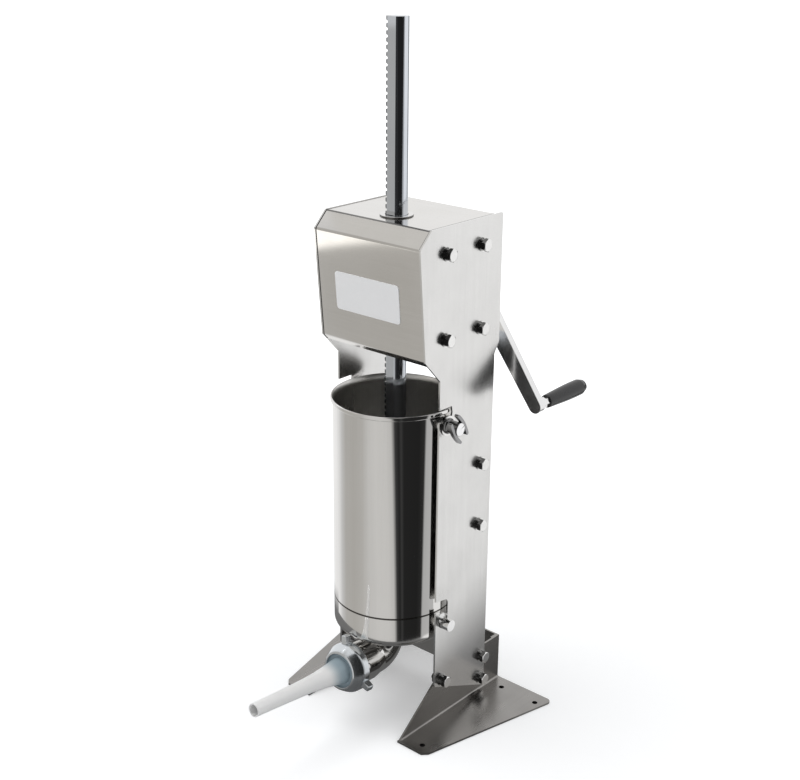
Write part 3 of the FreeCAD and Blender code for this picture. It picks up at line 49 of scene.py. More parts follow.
def set_camera():
    """The photograph's own view: 60 mm lens, above and to the right of the stuffer's front."""
    yaw, pitch, roll = (math.radians(turn) for turn in (CAMERA_YAW, CAMERA_PITCH, CAMERA_ROLL))
    right = Vector((math.cos(yaw), math.sin(yaw), 0))
    back = Vector((math.sin(yaw) * math.cos(pitch), -math.cos(yaw) * math.cos(pitch),
                   math.sin(pitch)))
    up = back.cross(right)
    level_right = right * math.cos(roll) + up * math.sin(roll)
    level_up = up * math.cos(roll) - right * math.sin(roll)
    camera = bpy.data.objects.new("photo_camera", bpy.data.cameras.new("photo_camera"))
    camera.data.sensor_fit = "HORIZONTAL"
    camera.data.sensor_width = CAMERA_SENSOR
    camera.data.lens = CAMERA_LENS
    camera.data.clip_end = 50
    turn = Matrix((level_right, level_up, back)).transposed().to_4x4()
    camera.matrix_world = Matrix.Translation(CAMERA_PLACE) @ turn
    bpy.context.scene.collection.objects.link(camera)
    bpy.context.scene.camera = camera


# ---- node helpers ----

class Wires:
    """Adds nodes to one tree and joins them."""

    def __init__(self, tree):
        self.tree = tree

    def add(self, kind, **settings):
        node = self.tree.nodes.new(kind)
        for name, value in settings.items():
            setattr(node, name, value)
        return node

    def join(self, source, target):
        self.tree.links.new(source, target)

    def give(self, socket, value):
        """Join another node's output to a socket, or set its value."""
        if isinstance(value, bpy.types.NodeSocket):
            self.join(value, socket)
        else:
            socket.default_value = value

    def feed(self, node, **values):
        for name, value in values.items():
            self.give(node.inputs[name.replace("_", " ")], value)
        return node

    def math(self, operation, *values, clamp=False):
        node = self.add("ShaderNodeMath", operation=operation, use_clamp=clamp)
        for socket, value in zip(node.inputs, values):
            self.give(socket, value)
        return node.outputs[0]

    def between(self, amount, low, high):
        """low + amount * (high - low)"""
        return self.math("MULTIPLY_ADD", amount, self.math("SUBTRACT", high, low), low)

    def weighed(self, share, first, second):
        """A share of the first amount, and the rest of the second."""
        return self.math("ADD", self.math("MULTIPLY", first, share),
                         self.math("MULTIPLY", second, 1 - share))

    def mapped(self, amount, low, high, start=0.0, end=1.0, curve="LINEAR"):
        """An amount brought from low...high to start...end, and held there outside."""
        node = self.add("ShaderNodeMapRange", clamp=True, interpolation_type=curve)
        self.feed(node, Value=amount, From_Min=low, From_Max=high, To_Min=start, To_Max=end)
        return node.outputs["Result"]

    def object_place(self):
        """The place on the object, which is all that the patterns depend on."""
        return self.add("ShaderNodeTexCoord").outputs["Object"]

    def parts_of(self, way):
        """The X, Y and Z of a place or a direction."""
        parts = self.add("ShaderNodeSeparateXYZ")
        self.join(way, parts.inputs[0])
        return parts.outputs

    def mixed(self, share, first, second):
        """The first colour at share 0, the second at 1."""
        mix = self.add("ShaderNodeMix", data_type="RGBA")
        self.give(mix.inputs["Factor"], share)
        self.give(mix.inputs[6], first)
        self.give(mix.inputs[7], second)
        return mix.outputs[2]

    def scaled(self, colour, amount):
        """A colour made darker or brighter by an amount."""
        node = self.add("ShaderNodeVectorMath", operation="SCALE")
        self.join(colour, node.inputs[0])
        self.join(amount, node.inputs["Scale"])
        return node.outputs[0]

    def ramp(self, amount, stops):
        """A colour ramp through (place, (red, green, blue)) stops."""
        node = self.add("ShaderNodeValToRGB")
        self.join(amount, node.inputs["Fac"])
        marks = node.color_ramp.elements
        while len(marks) < len(stops):
            marks.new(0.5)
        for mark, (place, colour) in zip(marks, stops):
            mark.position = place
            mark.color = (*colour, 1)
        return node.outputs["Color"]


def new_group(name, inputs, outputs):
    """A node group with named sockets."""
    tree = bpy.data.node_groups.new(name, "ShaderNodeTree")
    for label, kind, start in inputs:
        socket = tree.interface.new_socket(name=label, in_out="INPUT", socket_type=kind)
        socket.default_value = start
    for label, kind in outputs:
        tree.interface.new_socket(name=label, in_out="OUTPUT", socket_type=kind)
    wires = Wires(tree)
    return wires, wires.add("NodeGroupInput").outputs, wires.add("NodeGroupOutput").inputs


# How much of the fine noise the broad one's scale is, and the grain's depth in metres
BROAD_SCALE, GRAIN_DEPTH = 0.13, 0.0002


def make_rolled_grain():
    """Long fine lines left by the brush or the rolls, over broader ones."""
    wires, given, out = new_group(
        "rolled_grain",
        [("Stretch", "NodeSocketVector", (1, 1, 1)), ("Fineness", "NodeSocketFloat", 900.0),
         ("Relief", "NodeSocketFloat", 0.1)],
        [("Streak", "NodeSocketFloat"), ("Normal", "NodeSocketVector")])
    stretched = wires.add("ShaderNodeVectorMath", operation="MULTIPLY")
    wires.join(wires.object_place(), stretched.inputs[0])
    wires.join(given["Stretch"], stretched.inputs[1])
    fine = wires.feed(wires.add("ShaderNodeTexNoise"), Vector=stretched.outputs[0],
                      Scale=given["Fineness"], Detail=3.0, Roughness=0.6)
    broad = wires.feed(wires.add("ShaderNodeTexNoise"), Vector=stretched.outputs[0],
                       Scale=wires.math("MULTIPLY", given["Fineness"], BROAD_SCALE), Detail=2.0)
    both = wires.weighed(0.6, fine.outputs["Fac"], broad.outputs["Fac"])
    bump = wires.feed(wires.add("ShaderNodeBump"), Strength=given["Relief"],
                      Distance=GRAIN_DEPTH, Height=both)
    wires.join(both, out["Streak"])
    wires.join(bump.outputs["Normal"], out["Normal"])


def make_handling():
    """Soft patches where hands and cloths have dulled the shine."""
    wires, given, out = new_group(
        "handling",
        [("Patches", "NodeSocketFloat", 12.0), ("Streak", "NodeSocketFloat", 0.5),
         ("Smooth", "NodeSocketFloat", 0.2), ("Dull", "NodeSocketFloat", 0.35)],
        [("Roughness", "NodeSocketFloat"), ("Patch", "NodeSocketFloat")])
    cloud = wires.feed(wires.add("ShaderNodeTexNoise"), Vector=wires.object_place(),
                       Scale=given["Patches"], Detail=4.0, Roughness=0.55)
    both = wires.weighed(0.65, cloud.outputs["Fac"], given["Streak"])
    wires.join(wires.mapped(both, 0.36, 0.64, given["Smooth"], given["Dull"]), out["Roughness"])
    wires.join(cloud.outputs["Fac"], out["Patch"])


def make_tone_drift():
    """A colour that drifts between two tones, with the streaks showing in it."""
    wires, given, out = new_group(
        "tone_drift",
        [("Tone", "NodeSocketColor", (0.6, 0.6, 0.6, 1)),
         ("Shade", "NodeSocketColor", (0.5, 0.5, 0.5, 1)),
         ("Patch", "NodeSocketFloat", 0.5), ("Streak", "NodeSocketFloat", 0.5)],
        [("Color", "NodeSocketColor")])
    share = wires.mapped(wires.weighed(0.5, given["Patch"], given["Streak"]), 0.35, 0.65)
    wires.join(wires.mixed(share, given["Tone"], given["Shade"]), out["Color"])


def make_painted_flank_shade():
    """A colour kept on the faces square to X and darkened on all the others: painted shade on the
    flanks.
    """
    wires, given, out = new_group(
        "painted_flank_shade",
        [("Color", "NodeSocketColor", (0.6, 0.6, 0.6, 1)), ("Flanks", "NodeSocketFloat", 0.3)],
        [("Color", "NodeSocketColor")])
    facing = wires.parts_of(wires.add("ShaderNodeNewGeometry").outputs["True Normal"])
    square = wires.math("ABSOLUTE", facing["X"])
    # painted shade on every face that isn't square to X
    kept = wires.mapped(square, 0.55, 0.8, given["Flanks"])
    wires.join(wires.scaled(given["Color"], kept), out["Color"])


# The painted shade that stands for the dark metal seen through the funnel, and the two Y, in
# metres, between which it fades
SEEN_THROUGH_SHADE = (0.36, 0.45, 0.50, 1)
MOUTH_START, MOUTH_END = -0.112, -0.138


def make_painted_mouth_shade():
    """A clear plastic's colour, darkened at its wide end with painted shade for the metal behind
    it.
    """
    wires, given, out = new_group(
        "painted_mouth_shade", [("Color", "NodeSocketColor", (0.9, 0.9, 0.9, 1))],
        [("Color", "NodeSocketColor")])
    along = wires.parts_of(wires.object_place())["Y"]
    share = wires.mapped(along, MOUTH_START, MOUTH_END, curve="SMOOTHSTEP")
    wires.join(wires.mixed(share, SEEN_THROUGH_SHADE, given["Color"]), out["Color"])


# How much of its colour the metal keeps in the teeth, and in how many metres the painted shade ends
TOOTH_KEPT, TOOTH_FADE = 0.08, 0.001


def make_tooth_shade():
    """A colour darkened in the cut teeth along the bar's left edge: painted shade."""
    wires, given, out = new_group(
        "tooth_shade",
        [("Color", "NodeSocketColor", (0.6, 0.6, 0.6, 1)), ("Edge", "NodeSocketFloat", -0.0125)],
        [("Color", "NodeSocketColor")])
    across = wires.parts_of(wires.object_place())["X"]
    full = wires.math("ADD", given["Edge"], TOOTH_FADE)
    kept = wires.mapped(across, given["Edge"], full, TOOTH_KEPT)
    wires.join(wires.scaled(given["Color"], kept), out["Color"])


make_rolled_grain()
make_handling()
make_tone_drift()
make_painted_flank_shade()
make_painted_mouth_shade()
make_tooth_shade()


# ---- finishes ----

def placed_group(wires, name, **values):
    """One of the shared groups, set into a material."""
    node = wires.add("ShaderNodeGroup", node_tree=bpy.data.node_groups[name])
    return wires.feed(node, **values)


def new_material(name):
    """A material, the wires of its tree and its main shader."""
    material = bpy.data.materials.new(name)
    material.use_nodes = True
    return material, Wires(material.node_tree), material.node_tree.nodes["Principled BSDF"]


def worn_skin(wires, tone, shade, smooth, dull, stretch, fineness, relief, patches):
    """What every finish shares: its grain, its handled patches and its drifting colour."""
    grain = placed_group(wires, "rolled_grain", Stretch=stretch, Fineness=fineness, Relief=relief)
    hands = placed_group(wires, "handling", Patches=patches, Streak=grain.outputs["Streak"],
                         Smooth=smooth, Dull=dull)
    colour = placed_group(wires, "tone_drift", Tone=(*tone, 1), Shade=(*shade, 1),
                          Patch=hands.outputs["Patch"], Streak=grain.outputs["Streak"])
    return colour, hands.outputs["Roughness"], grain.outputs["Normal"]


def steel(name, tone, shade, smooth, dull, along="Z", fineness=900.0, relief=0.1, stretch=0.012,
          patches=12.0, flanks=1.0, teeth=0.0):
    """A metal with its grain along one axis.

    flanks under 1 darken the faces that aren't square to X with painted shade. teeth is the X, in
    metres, left of which the metal is painted dark, as shade in the teeth.
    """
    material, wires, skin = new_material(name)
    ways = {"X": (stretch, 1, 1), "Y": (1, stretch, 1), "Z": (1, 1, stretch), "even": (1, 1, 1),
            "ring": (stretch, 1, stretch)}
    colour, roughness, normal = worn_skin(wires, tone, shade, smooth, dull, ways[along], fineness,
                                          relief, patches)
    # flanks under 1 paint shade on the faces that aren't square to X
    if flanks < 1:
        colour = placed_group(wires, "painted_flank_shade", Color=colour.outputs["Color"], Flanks=flanks)
    if teeth < 0:
        colour = placed_group(wires, "tooth_shade", Color=colour.outputs["Color"], Edge=teeth)
    skin.inputs["Metallic"].default_value = 1.0
    wires.feed(skin, Base_Color=colour.outputs["Color"], Roughness=roughness, Normal=normal)
    return material


def plastic(name, tone, shade, smooth, dull, fineness=1200.0, relief=0.08, clear=0.0, ior=1.5,
            mouth=False):
    """A moulded plastic with a faint skin of its own; mouth paints shade for the metal behind it.
    """
    material, wires, skin = new_material(name)
    colour, roughness, normal = worn_skin(wires, tone, shade, smooth, dull, (1, 1, 1), fineness,
                                          relief, 20.0)
    if mouth:
        colour = placed_group(wires, "painted_mouth_shade", Color=colour.outputs["Color"])
    skin.inputs["Metallic"].default_value = 0.0
    skin.inputs["Transmission Weight"].default_value = clear
    skin.inputs["IOR"].default_value = ior
    wires.feed(skin, Base_Color=colour.outputs["Color"], Roughness=roughness, Normal=normal)
    return material


# Slot, light tone, dark tone, smoothest, dullest, and the grain's way, fineness and relief; then,
# where they differ, the grain's stretch, the patches' scale and how bright the flanks stay under
# the painted flank shade
METALS = [
    ("column_steel", (0.79, 0.785, 0.775), (0.74, 0.735, 0.725), 0.2, 0.28, "Z", 700.0, 0.05),
    # the feet's steel is toned far darker than the column's: painted shade for the dark it mirrors
    ("foot_steel", (0.34, 0.33, 0.318), (0.29, 0.28, 0.27), 0.24, 0.34, "Y", 700.0, 0.1),
    ("casing_steel", (0.76, 0.745, 0.725), (0.70, 0.685, 0.66), 0.1, 0.16, "X", 800.0, 0.04),
    ("mirror_steel", (0.78, 0.77, 0.755), (0.74, 0.73, 0.715), 0.03, 0.065, "Z", 420.0, 0.02,
     0.02, 7.0),
    ("plated_steel", (0.88, 0.88, 0.875), (0.80, 0.80, 0.80), 0.1, 0.2, "even", 700.0, 0.05),
    # the bolts' and washers' flanks are darkened with painted shade
    ("zinc_steel", (0.90, 0.895, 0.885), (0.78, 0.775, 0.765), 0.14, 0.24, "even", 900.0, 0.06,
     0.012, 12.0, 0.3),
    ("cast_zinc", (0.80, 0.83, 0.85), (0.62, 0.65, 0.68), 0.13, 0.26, "ring", 900.0, 0.16),
    ("gear_steel", (0.42, 0.41, 0.40), (0.30, 0.29, 0.28), 0.26, 0.42, "even", 600.0, 0.12),
    ("block_alloy", (0.55, 0.55, 0.55), (0.45, 0.45, 0.45), 0.34, 0.5, "X", 500.0, 0.15),
    ("bronze", (0.62, 0.40, 0.20), (0.48, 0.29, 0.14), 0.28, 0.42, "even", 700.0, 0.10),
]
FINISHES = {row[0]: steel(*row) for row in METALS}
FINISHES["seal_rubber"] = plastic("seal_rubber", (0.62, 0.61, 0.57), (0.52, 0.51, 0.48), 0.55, 0.72)
# the funnel's wide end is painted dark, as shade for the metal behind it
FINISHES["funnel_plastic"] = plastic("funnel_plastic", (0.97, 0.97, 0.965), (0.93, 0.93, 0.93),
                                     0.34, 0.46, clear=0.25, ior=1.4, mouth=True)
FINISHES["grip_plastic"] = plastic("grip_plastic", (0.010, 0.010, 0.011), (0.018, 0.018, 0.019),
                                   0.16, 0.3)
FINISHES["valve_plastic"] = plastic("valve_plastic", (0.75, 0.75, 0.73), (0.66, 0.66, 0.64),
                                    0.4, 0.55)
# Finishes that only some faces or pieces of a slot have
# the bar's teeth are painted dark, as shade in them
RACK_PLATE = steel("rack_plate", (0.70, 0.73, 0.77), (0.62, 0.65, 0.70), 0.05, 0.12, "Z", 600.0,
                   0.04, teeth=-0.0078)
# The knob's steel, its flanks darkened with painted shade
KNOB_STEEL = steel("knob_steel", (0.95, 0.95, 0.955), (0.88, 0.88, 0.89), 0.1, 0.2, "even", 700.0,
                   0.05, flanks=0.22)
INNER_STEEL = steel("inner_steel", (0.72, 0.71, 0.69), (0.62, 0.61, 0.59), 0.26, 0.36, "Z", 500.0,
                    0.05)
# Near black for the ring at the cylinder's seam: painted shade for the groove there
SEAM_SHADE_STEEL = steel("seam_shade_steel", (0.10, 0.095, 0.09), (0.07, 0.065, 0.06), 0.2, 0.35, "even",
                   800.0, 0.1)
# The knob's wings: the knob's steel toned dark as painted shade
WING_SHADE_STEEL = steel("wing_shade_steel", (0.36, 0.36, 0.365), (0.30, 0.30, 0.305), 0.14, 0.24, "even",
                   700.0, 0.05)
# Painted shade for dark edges, bends and gaps
EDGE_SHADE = steel("edge_shade", (0.22, 0.215, 0.21), (0.17, 0.165, 0.16), 0.3, 0.45, "even",
                   800.0, 0.05)
LABEL_FILM = plastic("label_film", (0.93, 0.93, 0.935), (0.89, 0.89, 0.895), 0.3, 0.42, 900.0, 0.03)


def dress_nodes():
    """Give every CAD node the finish that its slot names."""
    for node in nodes.values():
        for slot in node.material_slots:
            slot.material = FINISHES[slot.material.name.split(".")[0]]
    nodes["rack_bar"].material_slots[0].material = RACK_PLATE


# ---- making pieces ----

# Millimetres: the axis of the cylinder and the toothed bar, and the line of the outlet's drop,
# from which the casing's front is measured too
AXIS_Y = 22.07
FRONT_Y = 4.07
# The elbow's bend, and the end of its arc, from which the outlet rises to the front
OUTLET_RISE = math.radians(5.5)
BEND_RADIUS = 30
BEND_CENTRE = Vector((0, FRONT_Y - BEND_RADIUS, 121))
BEND_END = BEND_CENTRE - Vector((0, math.sin(OUTLET_RISE), math.cos(OUTLET_RISE))) * BEND_RADIUS


def quarter(way, axis):
    """A quarter turn one way or the other."""
    return Matrix.Rotation(math.radians(90 * way), 4, axis)


TO_FRONT, TO_REAR = quarter(1, "X"), quarter(-1, "X")
TO_RIGHT, TO_LEFT = quarter(1, "Y"), quarter(-1, "Y")
DOWN_OUTLET = Matrix.Rotation(math.radians(90) - OUTLET_RISE, 4, "X")


def along_outlet(distance):
    """The place on the outlet's axis at a distance from the bend's end."""
    return BEND_END + Vector((0, -math.cos(OUTLET_RISE), math.sin(OUTLET_RISE))) * distance


def verts_in(items):
    return [item for item in items if isinstance(item, bmesh.types.BMVert)]


def edges_in(items):
    return [item for item in items if isinstance(item, bmesh.types.BMEdge)]


def each_once(items):
    """The items in their own order, without the ones that come again."""
    return list(dict.fromkeys(items))


def edges_at(verts):
    return each_once(edge for vert in verts for edge in vert.link_edges)


def new_outline(corners, closed=True):
    """A wire through (x, y, z, rounding) corners, with each corner rounded by its own radius."""
    mesh = bmesh.new()
    verts = [mesh.verts.new(corner[:3]) for corner in corners]
    count = len(verts)
    for k in range(count if closed else count - 1):
        mesh.edges.new((verts[k], verts[(k + 1) % count]))
    for vert, corner in zip(verts, corners):
        if corner[3] > 0:
            bmesh.ops.bevel(mesh, geom=[vert], offset=corner[3], offset_type="OFFSET", segments=6,
                            profile=0.5, affect="VERTICES", material=-1)
    return mesh


def lathe(corners, turns=128, closed=True):
    """A solid of revolution about Z from (radius, height, rounding) corners."""
    mesh = new_outline([(radius, 0, height, rounding) for radius, height, rounding in corners],
                       closed)
    bmesh.ops.spin(mesh, geom=mesh.verts[:] + mesh.edges[:], cent=(0, 0, 0), axis=(0, 0, 1),
                   dvec=(0, 0, 0), angle=2 * math.pi, steps=turns, use_merge=True,
                   use_duplicate=False)
    bmesh.ops.remove_doubles(mesh, verts=mesh.verts, dist=0.001)
    bmesh.ops.recalc_face_normals(mesh, faces=mesh.faces)
    return mesh


def thicken(mesh, faces, thick):
    """Raise flat faces along Z into a plate."""
    grown = bmesh.ops.extrude_face_region(mesh, geom=faces)["geom"]
    bmesh.ops.translate(mesh, vec=(0, 0, thick), verts=verts_in(grown))
    bmesh.ops.recalc_face_normals(mesh, faces=mesh.faces)


def slab(corners, thick):
    """A flat plate, thick along Z, from (x, y, rounding) corners."""
    mesh = new_outline([(x, y, 0, rounding) for x, y, rounding in corners])
    thicken(mesh, bmesh.ops.contextual_create(mesh, geom=mesh.edges)["faces"], thick)
    return mesh


def ease_edges(mesh, radius, wanted):
    """Round the edges that pass a test."""
    edges = [edge for edge in mesh.edges if wanted(edge)]
    bmesh.ops.bevel(mesh, geom=edges, offset=radius, offset_type="OFFSET", segments=3, profile=0.5,
                    affect="EDGES", clamp_overlap=True, material=-1)


def edge_is_sharp(edge):
    return len(edge.link_faces) == 2 and edge.calc_face_angle() > math.radians(25)


def add_to(mesh, other):
    """Put a second bmesh's faces into the first."""
    data = bpy.data.meshes.new("part")
    other.to_mesh(data)
    other.free()
    mesh.from_mesh(data)
    bpy.data.meshes.remove(data)


def set_down(mesh, where, turn=Matrix.Identity(4)):
    """Turn a mesh and move it to its place in millimetres."""
    bmesh.ops.transform(mesh, matrix=Matrix.Translation(where) @ turn, verts=mesh.verts)


def spread_round(first, count, angle=0):
    """Copies of a mesh evenly about Z, the first turned to an angle."""
    whole = bmesh.new()
    for k in range(count):
        copy = first.copy()
        turn = Matrix.Rotation(math.radians(angle + 360 / count * k), 4, "Z")
        set_down(copy, (0, 0, 0), turn)
        add_to(whole, copy)
    first.free()
    return whole


def pushed(mesh, edges, way, swell=1.0, middle=(0, 0, 0)):
    """Pull a ring of edges into a wall, swell it about a middle, and give the new ring."""
    grown = bmesh.ops.extrude_edge_only(mesh, edges=edges)["geom"]
    bmesh.ops.translate(mesh, vec=way, verts=verts_in(grown))
    if swell != 1:
        bmesh.ops.scale(mesh, vec=(swell, swell, swell), space=Matrix.Translation(-Vector(middle)),
                        verts=verts_in(grown))
    return edges_in(grown)


def new_object(name, mesh, where=(0, 0, 0)):
    """A finished mesh, in metres, as an object of the scene."""
    data = bpy.data.meshes.new(name)
    mesh.to_mesh(data)
    mesh.free()
    made = bpy.data.objects.new(name, data)
    made.location = where
    bpy.context.scene.collection.objects.link(made)
    return made


def hand_over(name, mesh, slot, body, stands_for=(), material=None, second=None):
    """Turn a finished mesh, in millimetres, into a piece that rides on its body.

    material takes the place of the slot's own finish, and second is for faces of index 1.
    """
    bmesh.ops.scale(mesh, vec=(MM, MM, MM), verts=mesh.verts)
    piece = new_object(name, mesh)
    piece.data.shade_smooth()
    piece.data.set_sharp_from_angle(angle=math.radians(32))
    piece.data.materials.append(material or FINISHES[slot])
    if second:
        piece.data.materials.append(second)
    even = piece.modifiers.new("even_normals", "WEIGHTED_NORMAL")
    even.keep_sharp = True
    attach(piece, body)
    for node in stands_for:
        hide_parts(node)


# ---- pieces ----

def meat_cylinder():
    """The polished tube, its mouth rolled outwards, its lower edge eased at the seam."""
    mesh = lathe([(91.5, 187.1, 0), (93, 187.1, 0.9), (93, 505.7, 0.4), (96.3, 505.7, 1.6),
                  (96.3, 512.3, 1.7), (94.3, 512.3, 0.5), (91.5, 506.3, 4)], turns=192)
    for face in mesh.faces:
        outwards = face.calc_center_median() * Vector((1, 1, 0))
        face.material_index = 1 if face.normal.dot(outwards) < 0 else 0
    set_down(mesh, (0, AXIS_Y, 0))
    hand_over("meat_cylinder", mesh, "mirror_steel", "frame", ["cylinder_tube"],
              second=INNER_STEEL)


def seam_groove_shade():
    """A dark ring at the weld between the tube and its cup: painted shade for the groove there."""
    mesh = lathe([(92.4, 185.3, 0), (93.06, 185.5, 0.2), (93.06, 188.5, 0.2), (92.4, 188.7, 0)],
                 turns=192)
    set_down(mesh, (0, AXIS_Y, 0))
    hand_over("seam_groove_shade", mesh, "mirror_steel", "frame", (), SEAM_SHADE_STEEL)


# Bolts: a head's width across its flats, its seat's and its end's distance from the middle, and
# its shank's radius; then the (y, z) places on each side of the frame
ACROSS_FLATS, HEAD_SEAT, HEAD_END, SHANK = 17.0, 104.4, 110.8, 5
HEAD_BOLTS = [(AXIS_Y - 7, 743), (AXIS_Y - 7, 620), (AXIS_Y + 70.5, 743), (AXIS_Y + 70.5, 620)]
BRACE_BOLTS = [(AXIS_Y + 80, 405), (AXIS_Y + 80, 304)]
FOOT_BOLTS = [(AXIS_Y + 1, 66), (AXIS_Y + 97, 66), (AXIS_Y + 97, 25.5)]


def hexagon_bolt(start):
    """A bolt along Z from its tip at start: a shank, and a hexagon head with its corners eased."""
    corner = ACROSS_FLATS / math.sqrt(3)
    crown = 0.465 * ACROSS_FLATS
    mesh = lathe([(0, HEAD_SEAT, 0), (corner, HEAD_SEAT, 0), (corner, HEAD_END - 1.1, 0),
                  (crown, HEAD_END, 0.3), (0, HEAD_END, 0)], turns=96, closed=False)
    for k in range(6):
        way = Matrix.Rotation(math.radians(30 + 60 * k), 3, "Z") @ Vector((1, 0, 0))
        cut = bmesh.ops.bisect_plane(mesh, geom=mesh.verts[:] + mesh.edges[:] + mesh.faces[:],
                                     plane_co=way * ACROSS_FLATS / 2, plane_no=way,
                                     clear_outer=True)["geom_cut"]
        bmesh.ops.contextual_create(mesh, geom=edges_in(cut))
    add_to(mesh, lathe([(0, start, 0), (SHANK, start, 0.8), (SHANK, HEAD_SEAT, 0),
                        (0, HEAD_SEAT, 0)], turns=32, closed=False))
    return mesh


def bolt_row(name, node, start, places):
    """The bolts of one node on both sides of the frame, their tips at start from the middle."""
    whole = bmesh.new()
    for way in (TO_RIGHT, TO_LEFT):
        for across, up in places:
            bolt = hexagon_bolt(start)
            set_down(bolt, (0, across, up), way)
            add_to(whole, bolt)
    hand_over(name, whole, "zinc_steel", "frame", [node])


# The elbow's height where it leaves the cup, and what lies along the outlet from the bend's end:
# the end of the elbow's cone, the back of the nut, the elbow's rim and the back of the funnel
ELBOW_TOP = 136
CONE_END, NUT_BACK, ELBOW_RIM, FUNNEL_BACK = 18, 46.1, 65, 68


def bright_elbow():
    """The polished elbow: down from the cup, round the bend, and out through a wider end."""
    mesh = bmesh.new()
    top = Matrix.Translation((0, FRONT_Y, ELBOW_TOP))
    rims = []
    # the outside widens along the cone, and the bore stays
    for radius, far_radius in ((28, 32), (26, 26)):
        ring = bmesh.ops.create_circle(mesh, segments=96, radius=radius, matrix=top)["verts"]
        edges = edges_at(ring)
        rims.append(edges)
        edges = pushed(mesh, edges, (0, 0, BEND_CENTRE.z - ELBOW_TOP))
        verts = each_once(vert for edge in edges for vert in edge.verts)
        spun = bmesh.ops.spin(mesh, geom=edges + verts, cent=BEND_CENTRE, axis=(1, 0, 0),
                              dvec=(0, 0, 0), angle=-math.radians(90) - OUTLET_RISE, steps=32,
                              use_merge=False, use_duplicate=False)
        cone_end = along_outlet(CONE_END)
        edges = pushed(mesh, edges_in(spun["geom_last"]), cone_end - BEND_END,
                       far_radius / radius, cone_end)
        edges = pushed(mesh, edges, along_outlet(ELBOW_RIM) - cone_end)
        rims.append(edges)
    outer_top, outer_end, inner_top, inner_end = rims
    bmesh.ops.bridge_loops(mesh, edges=outer_top + inner_top)
    bmesh.ops.bridge_loops(mesh, edges=outer_end + inner_end)
    bmesh.ops.recalc_face_normals(mesh, faces=mesh.faces)
    hand_over("bright_elbow", mesh, "mirror_steel", "frame", ["outlet_elbow"])


def cast_nut():
    """The domed nut with its three lugs."""
    mesh = lathe([(32.1, 0, 0), (37.6, 0, 0.6), (38.5, 1.2, 0.5), (38.5, 13.2, 2.5),
                  (34.6, 21.5, 5), (30, 29, 1.6), (26.5, 29, 0.8), (26.5, 25.5, 0),
                  (32.1, 25.5, 0)])
    lug = slab([(33, -5.2, 0), (51, -4.6, 2.0), (51, 4.6, 2.0), (33, 5.2, 0)], 11.5)
    ease_edges(lug, 1.5,
               lambda edge: edge_is_sharp(edge) and min(v.co.x for v in edge.verts) > 33.5)
    set_down(lug, (0, 0, 2.2))
    add_to(mesh, spread_round(lug, 3, 100))
    set_down(mesh, along_outlet(NUT_BACK), DOWN_OUTLET)
    hand_over("cast_nut", mesh, "cast_zinc", "ring_nut", ["ring_nut"])


def milky_funnel():
    """The plastic stuffing funnel: flange, cone and a long slim tip."""
    tip = 181.96
    mesh = lathe([(18.9, 0, 0), (31, 0, 0.6), (31, 3, 0.6), (20.5, 3, 1.0), (12.6, 56, 24),
                  (10, 162, 30), (10, tip, 0.6), (8.4, tip, 0.6), (8.4, 162, 30), (11, 56, 24)])
    set_down(mesh, along_outlet(FUNNEL_BACK), DOWN_OUTLET)
    hand_over("milky_funnel", mesh, "funnel_plastic", "frame", ["funnel"])


# The knob's foot, and how far its wings are turned from upright
KNOB_PLACE, KNOB_TURN = (102.3, AXIS_Y, 489.5), 33


def winged_knob():
    """The bright knob that clamps the cylinder: a turned hub between two bowed wings, the wings
    toned dark and the hub's flanks darkened, both as painted shade.
    """
    mesh = lathe([(0, 20.2, 0), (6.05, 20.2, 0), (6.05, 0, 0), (12, 0, 0.6), (11.4, 2.4, 1.0),
                  (10, 4.2, 1.5), (10, 22.2, 1.4), (0, 22.2, 0)], turns=64, closed=False)
    hub = len(mesh.faces)
    wing = slab([(9.1, -8, 9), (6.1, -21, 2.2), (11.1, -21, 2.2), (14.1, -8, 9), (14.1, 8, 9),
                 (11.1, 21, 2.2), (6.1, 21, 2.2), (9.1, 8, 9)], 6.5)
    ease_edges(wing, 1.1, edge_is_sharp)
    set_down(wing, (0, 0, 14.2))
    add_to(mesh, spread_round(wing, 2))
    mesh.faces.ensure_lookup_table()
    # the wings take the painted shade
    for face in mesh.faces[hub:]:
        face.material_index = 1
    turn = TO_RIGHT @ Matrix.Rotation(math.radians(90 + KNOB_TURN), 4, "Z")
    set_down(mesh, KNOB_PLACE, turn)
    hand_over("winged_knob", mesh, "plated_steel", "clamp_knob", ["clamp_knob"], KNOB_STEEL,
              WING_SHADE_STEEL)


# The crank's shaft, the arm's reach and its lean from level, and where the grip begins
CRANK_PLACE, CRANK_REACH, CRANK_LEAN = (29.63, 166.1, 668.3), 214.5, -53.5
GRIP_PLACE = (157.2, 183.4, 495.9)


def turning_arm():
    """The crank's flat arm, wide at the shaft and tapering to the grip, its edges rounded."""
    mesh = bmesh.new()
    for across, radius in ((0, 16), (CRANK_REACH, 11)):
        bmesh.ops.create_circle(mesh, segments=72, radius=radius,
                                matrix=Matrix.Translation((across, 0, 0)))
    hull = bmesh.ops.convex_hull(mesh, input=mesh.verts, use_existing_faces=False)
    inside = [vert for vert in hull["geom_interior"] if vert.is_valid]
    bmesh.ops.delete(mesh, geom=inside, context="VERTS")
    bmesh.ops.dissolve_limit(mesh, angle_limit=math.radians(1), verts=mesh.verts, edges=mesh.edges)
    thicken(mesh, mesh.faces[:], 12)
    ease_edges(mesh, 1.6, edge_is_sharp)
    turn = TO_FRONT @ Matrix.Rotation(math.radians(CRANK_LEAN), 4, "Z")
    set_down(mesh, CRANK_PLACE, turn)
    hand_over("turning_arm", mesh, "plated_steel", "crank", ["crank_arm"])


